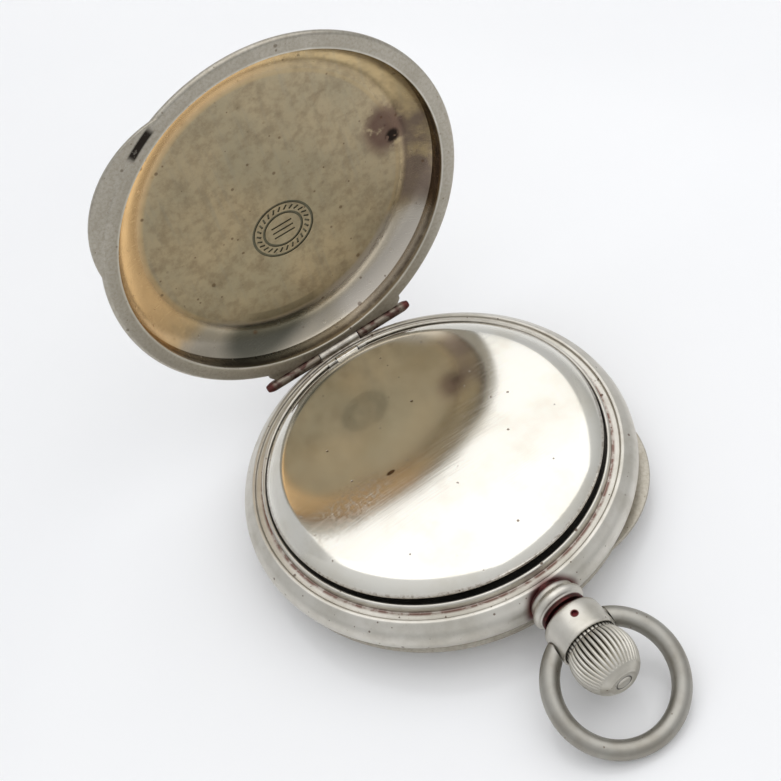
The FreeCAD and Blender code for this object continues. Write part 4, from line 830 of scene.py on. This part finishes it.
def worn_nickel(finish, *coats, polish=0.33):
    """Satin nickel with hairlines, dull patches and brown specks, and a piece's own stains."""
    patches = finish.patches(5.0, 0.40, 0.70, detail=8.0, rough=0.65)
    fine = finish.noise(0.7, 4.0)
    # Brown grime in small patches.
    darkening = finish.patches(0.9, 0.62, 0.74, detail=6.0, rough=0.7, shift=12.0)
    specks = finish.either(finish.specks(1.3, 0.16), finish.specks(0.55, 0.07, shift=3.0))
    base = finish.mix(finish.band(finish.noise(11, 3.0, shift=2.0), 0.35, 0.65), SILVER, PALE)
    base = finish.layers(
        base,
        (finish.times(patches, 0.34), DULL),
        (finish.times(darkening, 0.45), rgb(128, 108, 82)),
        (finish.times(specks, 0.75), BROWN),
    )
    finish.colour(finish.layers(base, *coats))
    crossed = finish.scratches(0.06, 1.8, 2.0, 0.64, 5.0)
    hairlines = finish.either(finish.scratches(0.05, 2.2, 0.4, 0.62), crossed)
    gloss = finish.math("MULTIPLY_ADD", patches, 0.06, polish)
    gloss = finish.math("ADD", gloss, finish.times(fine, 0.08))
    gloss = finish.math("ADD", gloss, finish.times(specks, 0.25))
    finish.rough(finish.math("ADD", gloss, finish.times(hairlines, 0.06)))
    finish.bump((finish.noise(7.0, 2.0), 0.05), (fine, 0.004), (hairlines, -0.0012), (specks, -0.02))


def band_finish():
    finish = Finish("band_nickel", Metallic=1.0)
    break_up = finish.band(finish.noise(1.6, 5.0, 0.65), 0.38, 0.62)
    foot = finish.ring(NECK_OUTER + 0.22, BACK_RIM - 0.38, 0.42)
    foot = finish.times(foot, finish.band(break_up, 0.0, 0.7, 0.35, 1.0))
    # Brown grime and painted shade in the groove under the band's front shoulder, beside the front cover.
    under = finish.times(finish.ring(26.6, FRONT_RIM + 0.2, 1.1), break_up)
    blots = finish.patches(2.6, 0.55, 0.68, detail=5.0, shift=9.0)
    ledge = finish.times(finish.band(finish.z, 5.0, 6.6, 1.0, 0.0), blots)
    # Painted shade: the inside of the band and the channel where the dust cover sits are painted near-black,
    # as if shaded by the bead and the dust cover.
    inside = finish.band(finish.radius(), NECK_INNER - 0.4, NECK_INNER - 0.05, 0.75, 0.0)
    seat = finish.ring(NECK_INNER, CUVETTE_SEAT, 0.8)
    pendant = finish.near((0, -29.6, 7.8), 4.9, 0.26, (1, 1, 1.15))
    hinge = finish.times(finish.near((0, HINGE_Y, 8.0), 5.0, 0.5, (0.3, 1, 1)), break_up)
    worn_nickel(
        finish,
        # painted shade inside the band and in its channel
        (finish.times(inside, 0.9), SOOT_AND_SHADE),
        (finish.times(seat, 0.85), SOOT_AND_SHADE),
        (finish.times(foot, 0.95), rgb(104, 62, 50)),
        # brown grime and painted shade under the front shoulder
        (finish.times(under, 0.8), BROWN),
        (finish.times(ledge, 0.6), rgb(112, 96, 78)),
        (finish.times(hinge, 0.5), BROWN),
        (finish.times(pendant, 0.95), ROUGE),
    )
    return finish


def lid_masks(finish, depth):
    """Where the inside of a cover is, and where its hinge barrels are."""
    beyond = finish.math("MAXIMUM", finish.less(finish.radius(), COVE_CENTRE), 0.0)
    wall = finish.hypot(beyond, finish.less(finish.z, depth - COVE_SINK))
    inside = finish.times(finish.band(wall, COVE_RADIUS + 0.2, COVE_RADIUS + 0.35, 1.0, 0.0),
                          finish.band(finish.z, 0.1, 0.3),
                          finish.band(finish.radius(), 25.5, 25.7, 1.0, 0.0))
    barrels = finish.band(finish.hypot(finish.less(finish.y, HINGE_Y), finish.less(finish.z, HINGE_RISE)),
                          KNUCKLE + 0.05, KNUCKLE + 0.3, 1.0, 0.0)
    return inside, barrels


def lid_lining(finish, depth):
    """The tarnished inside of a cover: olive and gold with old stains; silvery by the hinge, partly a painted
    reflection of the dust cover, with a dark painted reflection there as well, and a painted amber highlight
    along one side of the cove.
    """
    cloud = finish.patches(12.0, 0.34, 0.68, detail=6.0, rough=0.62, shift=1.0)
    mottle = finish.noise(1.6, 6.0, 0.68, shift=7.0)
    wipes = finish.noise(1.0, 4.0, 0.6, (1 / 0.7, 1 / 12.0, 1 / 12.0), 0.25, 3.0)
    grey, gold, amber_highlight = rgb(150, 147, 134), rgb(188, 166, 126), rgb(222, 184, 134)
    rub = finish.patches(3.0, 0.5, 0.72, detail=8.0, rough=0.7, shift=15.0)
    cove = finish.band(finish.radius(), 19.8, 21.5)
    floor_edge = finish.band(finish.math("ABSOLUTE", finish.less(finish.radius(), 20.4)), 0.1, 0.45, 1.0, 0.0)
    down = finish.math("ADD", finish.y, finish.times(cloud, 3.0))
    # Silvery tarnish and painted reflection: by the hinge the cove is painted silver-grey, and paler still
    # towards +X, where it mirrors the dust cover.
    silver_and_reflection_by_hinge = finish.times(finish.band(down, 13.0, 17.5), finish.band(finish.radius(), 19.6, 20.8))
    pale_reflection = finish.times(silver_and_reflection_by_hinge, finish.band(finish.x, 1.0, 6.0))
    # Painted reflection: a dark grey patch on the cove by the hinge, where it mirrors the watch's body.
    dark_reflection = finish.times(finish.near((-8.0, 20.0, depth - 1.5), 8.5, 0.5, (0.8, 1.6, 1)),
                          finish.band(finish.radius(), 20.3, 21.0))
    crease = finish.along_rim(104, 19.4, 7.0, 0.9)
    # Painted highlight: the cove is painted bright amber on its -X, -Y side, over its golden tarnish.
    highlight_side = finish.band(finish.less(finish.times(finish.x, -0.8), finish.times(finish.y, 0.6)), 2.0, 16.0)
    uneven = finish.patches(5.0, 0.3, 0.5, detail=5.0, shift=5.0)
    side_stain = finish.times(finish.along_rim(12, 23.6, 10.5, 2.6), uneven)
    stain = finish.times(finish.near((19.2, -1.6, depth), 4.6, 0.6, (1, 0.8, 0.4)),
                         finish.patches(2.6, 0.36, 0.46, detail=6.0, shift=4.5))
    heart = finish.times(finish.near((20.2, 0.2, depth), 1.5, 0.5, (1, 1, 0.4)),
                         finish.patches(0.9, 0.38, 0.46, detail=4.0))
    freckles = finish.either(finish.specks(2.4, 0.28, 0.16, 1.0), finish.specks(1.1, 0.10, 0.25, 6.0))
    edge = finish.times(finish.ring(COVER_OPENING - 0.1, 0.9, 1.0), finish.band(mottle, 0.3, 0.6, 0.4, 1.0))
    engraved = finish.times(finish.band(finish.z, depth - COVER_SHEET + 0.03, depth - COVER_SHEET + 0.06),
                            finish.near((*SEAL_PLACE, depth - COVER_SHEET), 6.0, 0.05))
    return finish.layers(
        TAN,
        (finish.times(cloud, 0.85), OLIVE),
        (finish.times(cove, 0.55), gold),
        (finish.band(mottle, 0.42, 0.66, 0.0, 0.45), rgb(130, 115, 92)),
        (finish.times(rub, 0.35), rgb(120, 100, 76)),
        (finish.band(wipes, 0.5, 0.7, 0.0, 0.22), grey),
        (finish.times(floor_edge, 0.4), gold),
        # painted amber highlight along the cove
        (finish.times(cove, highlight_side, 0.8), amber_highlight),
        # silvery tarnish and painted reflection by the hinge
        (finish.times(silver_and_reflection_by_hinge, 0.85), rgb(172, 165, 152)),
        (finish.times(pale_reflection, 0.8), rgb(206, 198, 186)),
        # painted dark reflection by the hinge
        (finish.times(dark_reflection, 0.85), rgb(84, 84, 74)),
        (finish.times(crease, 0.5), rgb(110, 104, 84)),
        (finish.times(side_stain, 0.85), rgb(118, 103, 96)),
        (finish.times(stain, 0.85), rgb(98, 74, 68)),
        (finish.times(heart, 0.95), SOOT_AND_SHADE),
        (finish.times(freckles, 0.6), BROWN),
        (finish.times(edge, 0.75), rgb(78, 62, 48)),
        (finish.times(engraved, 0.75), rgb(72, 78, 68)),
    )


def cover_finish(name, depth):
    """A cover: dull rim with a black mark, tarnished lining, dark hinge barrels with rouge at their ends."""
    finish = Finish(name, Metallic=1.0)
    inside, barrels = lid_masks(finish, depth)
    break_up = finish.patches(1.4, 0.44, 0.6, detail=5.0, shift=4.0)
    ends = finish.band(finish.math("ABSOLUTE", finish.x), 11.3, 12.3)
    rouge = finish.times(barrels, finish.either(ends, finish.times(break_up, 0.5)))
    face = finish.times(finish.band(finish.z, 0.9, 1.3, 1.0, 0.0), finish.band(finish.radius(), 25.5, 25.8))
    ragged = finish.patches(0.7, 0.36, 0.44, detail=5.0, shift=8.0)
    mark = finish.along_rim(237.5, 27.35, 2.9, 0.72)
    mark = finish.times(mark, face, finish.band(ragged, 0.0, 1.0, 0.75, 1.0))
    grain = finish.band(finish.noise(0.5, 6.0, 0.75, shift=14.0), 0.35, 0.7, 0.55, 0.95)
    dusk = finish.times(face, grain)
    bright_cove = finish.times(inside, finish.band(finish.radius(), 20.0, 21.5))
    worn_nickel(
        finish,
        (dusk, rgb(158, 150, 135)),
        (inside, lid_lining(finish, depth)),
        (finish.times(barrels, 0.9), finish.mix(break_up, rgb(128, 118, 106), rgb(70, 60, 54))),
        (finish.times(rouge, 0.85), rgb(88, 34, 34)),
        (finish.times(mark, 0.97), SOOT_AND_SHADE),
        polish=finish.math("MULTIPLY_ADD", bright_cove, -0.17, 0.33),
    )
    return finish


def cuvette_finish():
    """Polished nickel, drawn out in fine streaks, with scratches, brown pits and a worn patch."""
    finish = Finish("polished_nickel", Metallic=1.0)
    streaks = finish.noise(1.0, 5.0, 0.65, (1 / 14, 1 / 0.22, 1 / 14), -0.45)
    slanting = finish.scratches(0.12, 8.0, -0.1, 0.66, 4.0)
    hairs = finish.either(finish.scratches(0.14, 12.0, -0.45, 0.62), slanting)
    few = finish.scratches(0.12, 6.0, 0.95, 0.7, 9.0)
    haze = finish.patches(8.0, 0.4, 0.7, detail=5.0)
    pits = finish.either(finish.specks(1.9, 0.12, 0.12), finish.specks(0.8, 0.04, 0.22, 5.0))
    fleck = finish.patches(0.5, 0.46, 0.62, detail=5.0)
    worn = finish.times(finish.near((-14.5, -2.5, 12.9), 7.5, 0.8, (0.8, 1.6, 0.5)), fleck)
    nick = finish.times(finish.near((-7.2, -1.6, 13.7), 0.8, 0.3, (1, 2.2, 0.2)), 0.9)
    # Brown grime and painted shade on the dust cover's foot, in the channel inside the bead.
    edge = finish.times(finish.band(finish.radius(), 24.0, 24.4), finish.band(fleck, 0.0, 1.0, 0.5, 1.0))
    finish.colour(finish.layers(
        finish.mix(haze, rgb(229, 226, 217), rgb(220, 215, 202)),
        (finish.times(worn, 0.45), rgb(160, 136, 106)),
        (finish.times(pits, 0.8), BROWN),
        (nick, BROWN),
        (finish.times(edge, 0.6), BROWN),
    ))
    lines = finish.either(hairs, finish.times(few, 0.5))
    gloss = finish.math("MULTIPLY_ADD", haze, 0.03, 0.10)
    gloss = finish.math("ADD", gloss, finish.times(finish.band(streaks, 0.4, 0.7), 0.06))
    finish.rough(finish.math("ADD", gloss, finish.times(worn, 0.15)))
    finish.bump((lines, -0.0010), (streaks, 0.0035), (pits, -0.02), (finish.noise(9.0, 2.0), 0.02))
    return finish


def sleeve_finish():
    """Worn nickel with a ring of rouge left round the pendant's screw, which lies off the sleeve's axis."""
    finish = Finish("sleeve_nickel", Metallic=1.0)
    rim = finish.near((0, -34.3, STEM_Z + SLEEVE_RADIUS), 0.62, 0.2)
    inner = finish.band(finish.y, -SLEEVE_START - 0.5, -SLEEVE_START - 0.2, 0.0, 1.0)
    worn_nickel(finish, (finish.times(rim, 0.95), ROUGE), (finish.times(inner, 0.9), rgb(74, 34, 30)))
    return finish


def neck_finish():
    """The pendant's neck: rouge in its grooves, which lie along its own axis."""
    finish = Finish("neck_nickel", Metallic=1.0)
    shade = finish.patches(0.7, 0.4, 0.6, detail=4.0)
    groove = finish.either(finish.band(finish.z, 30.75, 30.95), finish.band(finish.z, 28.35, 28.75, 1.0, 0.0))
    worn_nickel(finish, (finish.times(groove, 0.97), finish.mix(shade, rgb(58, 26, 22), ROUGE)))
    return finish


def crown_finish():
    finish = Finish("crown_nickel", Metallic=1.0)
    button = finish.times(finish.band(finish.z, CROWN_END - 0.06, CROWN_END - 0.03, 1.0, 0.0),
                          finish.band(finish.z, CROWN_END - 0.3, CROWN_END - 0.2),
                          finish.band(finish.radius(), 1.3, 1.4, 1.0, 0.0))
    # The flute valleys are painted near-black: grime and painted shade, deepest by the sleeve.
    valley = finish.mask("darkening")
    worn_nickel(
        finish,
        (finish.band(valley, 0.10, 0.75, 0.0, 0.95), rgb(52, 44, 40)),
        (finish.times(button, 0.85), SOOT_AND_SHADE),
    )
    return finish


def bow_finish():
    finish = Finish("bow_nickel", Metallic=1.0)
    dull = finish.patches(4.0, 0.35, 0.65, detail=5.0)
    grain = finish.noise(0.35, 4.0, 0.6)
    pits = finish.specks(0.8, 0.12, 0.2)
    warm = finish.mix(dull, rgb(172, 169, 161), rgb(156, 151, 141))
    finish.colour(finish.layers(warm, (finish.times(pits, 0.7), BROWN)))
    finish.rough(finish.math("MULTIPLY_ADD", grain, 0.14, 0.36))
    finish.bump((grain, 0.006), (pits, -0.02), (finish.noise(5.0, 2.0), 0.04))
    return finish


def steel_finish(name, colour, gloss, grain=0.25):
    finish = Finish(name, Metallic=1.0)
    shade = finish.noise(1.4, 5.0)
    lines = finish.scratches(0.03, 1.2, 0.7, 0.6)
    darker = tuple(part * 0.72 for part in colour[:3]) + (1,)
    finish.colour(finish.mix(finish.band(shade, 0.35, 0.7), colour, darker))
    finish.rough(finish.math("MULTIPLY_ADD", shade, grain, gloss))
    finish.bump((lines, -0.0006), (finish.noise(0.3, 4.0), 0.0015))
    return finish


def damaskeened():
    """Nickel plates with the broad diagonal stripes a movement is finished in."""
    finish = Finish("striped_nickel", Metallic=1.0)
    across = finish.math("MULTIPLY_ADD", finish.x, 0.77, finish.times(finish.y, 0.64))
    wave = finish.math("SINE", finish.times(across, TURN / 2.4))
    sweep = finish.noise(1.0, 3.0, 0.6, (0.5, 9.0, 0.5), 0.69)
    finish.colour(finish.mix(finish.band(wave, -0.4, 0.4), rgb(218, 214, 204), rgb(196, 190, 176)))
    finish.rough(finish.math("ADD", finish.band(wave, -0.6, 0.6, 0.16, 0.32), finish.times(sweep, 0.10)))
    finish.bump((sweep, 0.002), (finish.band(wave, -1.0, 1.0), 0.004))
    return finish


def ruby():
    finish = Finish("ruby", Roughness=0.05, IOR=1.76)
    shade = finish.noise(0.5, 3.0)
    finish.colour(finish.mix(shade, rgb(170, 20, 48), rgb(210, 56, 84)))
    finish.bump((shade, 0.001))
    return finish


def watch_glass():
    finish = Finish("watch_glass", IOR=1.5, Transmission_Weight=1.0)
    smear = finish.patches(5.0, 0.5, 0.75, detail=5.0)
    finish.colour(finish.mix(smear, (1, 1, 1, 1), rgb(244, 248, 246)))
    finish.rough(finish.times(smear, 0.05))
    finish.bump((finish.scratches(0.04, 3.0, 0.3, 0.66), -0.0005))
    return finish


def enamel():
    """White vitreous enamel with faint hairline crackle."""
    finish = Finish("white_enamel", Coat_Weight=0.6)
    crack = finish.noise(3.5, 6.0, 0.7)
    line = finish.band(finish.math("ABSOLUTE", finish.less(crack, 0.5)), 0.0, 0.004, 1.0, 0.0)
    finish.colour(finish.layers(rgb(240, 237, 228), (finish.times(line, 0.25), rgb(150, 140, 120))))
    finish.rough(finish.band(finish.noise(2.0), 0.3, 0.7, 0.10, 0.18))
    finish.bump((finish.noise(2.5, 2.0), 0.004))
    return finish


def dial_ink():
    finish = Finish("dial_ink")
    finish.colour(finish.mix(finish.noise(0.4), rgb(14, 14, 16), rgb(32, 30, 30)))
    finish.rough(finish.band(finish.noise(0.5), 0.3, 0.7, 0.25, 0.45))
    return finish


def tabletop():
    """Glossy white table, a little uneven in its polish."""
    finish = Finish("table_white", IOR=1.45)
    shade = finish.noise(40.0, 3.0)
    finish.colour(finish.mix(shade, rgb(246, 246, 247), rgb(250, 250, 250)))
    finish.rough(finish.band(finish.noise(25.0, 4.0), 0.3, 0.7, 0.12, 0.16))
    return finish


STEEL = ("back_hinge_pin", "front_hinge_pin", "cuvette_hinge_pin", "winding_stem", "lift_spring",
         "lock_spring", "case_spring_screws", "click_spring", "click", "centre_arbor", "third_arbor",
         "fourth_arbor", "escape_arbor", "escape_wheel", "pallet_fork", "balance_staff", "regulator",
         "cannon_pinion", "minute_wheel_post", "barrel_arbor", "winding_pinion", "crown_wheel",
         "ratchet_wheel", "bezel")
BLUED = ("hour_hand", "minute_hand", "seconds_hand", "bridge_screws", "case_screws", "crown_wheel_screw",
         "ratchet_screw", "hairspring", "mainspring")
GILT = ("mainspring_barrel", "barrel_cover", "centre_wheel", "third_wheel", "fourth_wheel", "balance_wheel",
        "balance_screws", "minute_wheel", "hour_wheel")
PLATES = ("main_plate", "barrel_bridge", "train_bridge", "balance_cock", "pallet_bridge")


def dress_movement():
    """Materials for the CAD nodes that stay as they are."""
    nodes = frame["nodes"]
    steel_finish("polished_steel", rgb(196, 196, 196), 0.16).cover(*[nodes[name] for name in STEEL])
    steel_finish("blued_screws", rgb(38, 52, 120), 0.14).cover(*[nodes[name] for name in BLUED])
    steel_finish("gilt_brass", rgb(222, 184, 104), 0.2).cover(*[nodes[name] for name in GILT])
    damaskeened().cover(*[nodes[name] for name in PLATES])
    ruby().cover(nodes["bridge_jewels"], nodes["pallet_stones"])
    watch_glass().cover(nodes["crystal"])
    enamel().cover(nodes["dial"])
    rusty = Finish("rouged_pin", Metallic=0.6, Roughness=0.55)
    rusty.colour(rusty.mix(rusty.noise(0.4, 4.0), rgb(74, 16, 24), rgb(132, 44, 48)))
    rusty.bump((rusty.noise(0.2, 4.0), 0.02))
    rusty.cover(nodes["pendant_screw"])


# --- the studio ---------------------------------------------------------------------------------


def table():
    """The table: one wide sheet whose far side curves up out of sight."""
    reach, rise = 900, 260
    points, faces = [], []
    profile = [(-reach, 0), (260, 0)] + [(260 + rise * math.sin(a), rise * (1 - math.cos(a)))
                                         for a in (math.radians(9 * step) for step in range(1, 11))]
    profile.append((260 + rise, reach))
    for along, height in profile:
        points += [(-reach, along, height - 0.02), (reach, along, height - 0.02)]
    for row in range(len(profile) - 1):
        faces.append((2 * row, 2 * row + 1, 2 * row + 3, 2 * row + 2))
    piece = solid("table", points, faces)
    tabletop().cover(smooth(piece))


def softbox(name, at, toward, wide, tall, power, colour=(1, 1, 1)):
    """A soft rectangular light; sizes in millimetres and power in milliwatts."""
    lamp = bpy.data.lights.new(name, "AREA")
    lamp.shape = "RECTANGLE"
    lamp.size, lamp.size_y = wide * MM, tall * MM
    lamp.energy = power * MM
    lamp.color = colour
    stand = bpy.data.objects.new(name, lamp)
    bpy.context.scene.collection.objects.link(stand)
    stand.location = Vector(at) * MM
    stand.rotation_mode = "QUATERNION"
    stand.rotation_quaternion = (Vector(toward) - Vector(at)).to_track_quat("-Z", "Y")


def studio():
    world = bpy.data.worlds.new("studio")
    bpy.context.scene.world = world
    world.use_nodes = True
    tree = world.node_tree
    height = tree.nodes.new("ShaderNodeSeparateXYZ")
    tree.links.new(tree.nodes.new("ShaderNodeTexCoord").outputs["Generated"], height.inputs[0])
    sky = tree.nodes.new("ShaderNodeValToRGB")
    sky.color_ramp.elements[0].color = (0.50, 0.51, 0.52, 1)
    sky.color_ramp.elements[1].color = (0.84, 0.85, 0.87, 1)
    tree.links.new(height.outputs[2], sky.inputs[0])
    tree.links.new(sky.outputs[0], tree.nodes["Background"].inputs["Color"])
    softbox("overhead", (110, 60, 430), (0, 0, 0), 680, 620, 980)
    bpy.context.scene.view_settings.view_transform = "Standard"


def camera():
    eye, target = Vector((-39.89, -120.17, 174.94)), Vector((1.69, 14.75, 10.0))
    roll = math.radians(19.13)
    lens = bpy.data.cameras.new("view")
    lens.sensor_width = 36
    lens.lens = 66.84
    lens.clip_start = 0.001
    lens.clip_end = 10
    holder = bpy.data.objects.new("view", lens)
    bpy.context.scene.collection.objects.link(holder)
    holder.rotation_mode = "QUATERNION"
    aim = (target - eye).to_track_quat("-Z", "Y")
    holder.rotation_quaternion = aim @ Quaternion((0, 0, 1), -roll)
    holder.location = eye * MM
    bpy.context.scene.camera = holder


camera()
band_finish().cover(case_band())
cover_finish("back_cover_nickel", BACK_DEPTH).cover(back_cover())
cover_finish("front_cover_nickel", FRONT_DEPTH).cover(front_cover())
cuvette_finish().cover(cuvette())
neck_finish().cover(pendant_neck())
sleeve_finish().cover(pendant_sleeve())
crown_finish().cover(crown())
bow_finish().cover(bow())
dial_ink().cover(dial_print())
dress_movement()
table()
studio()
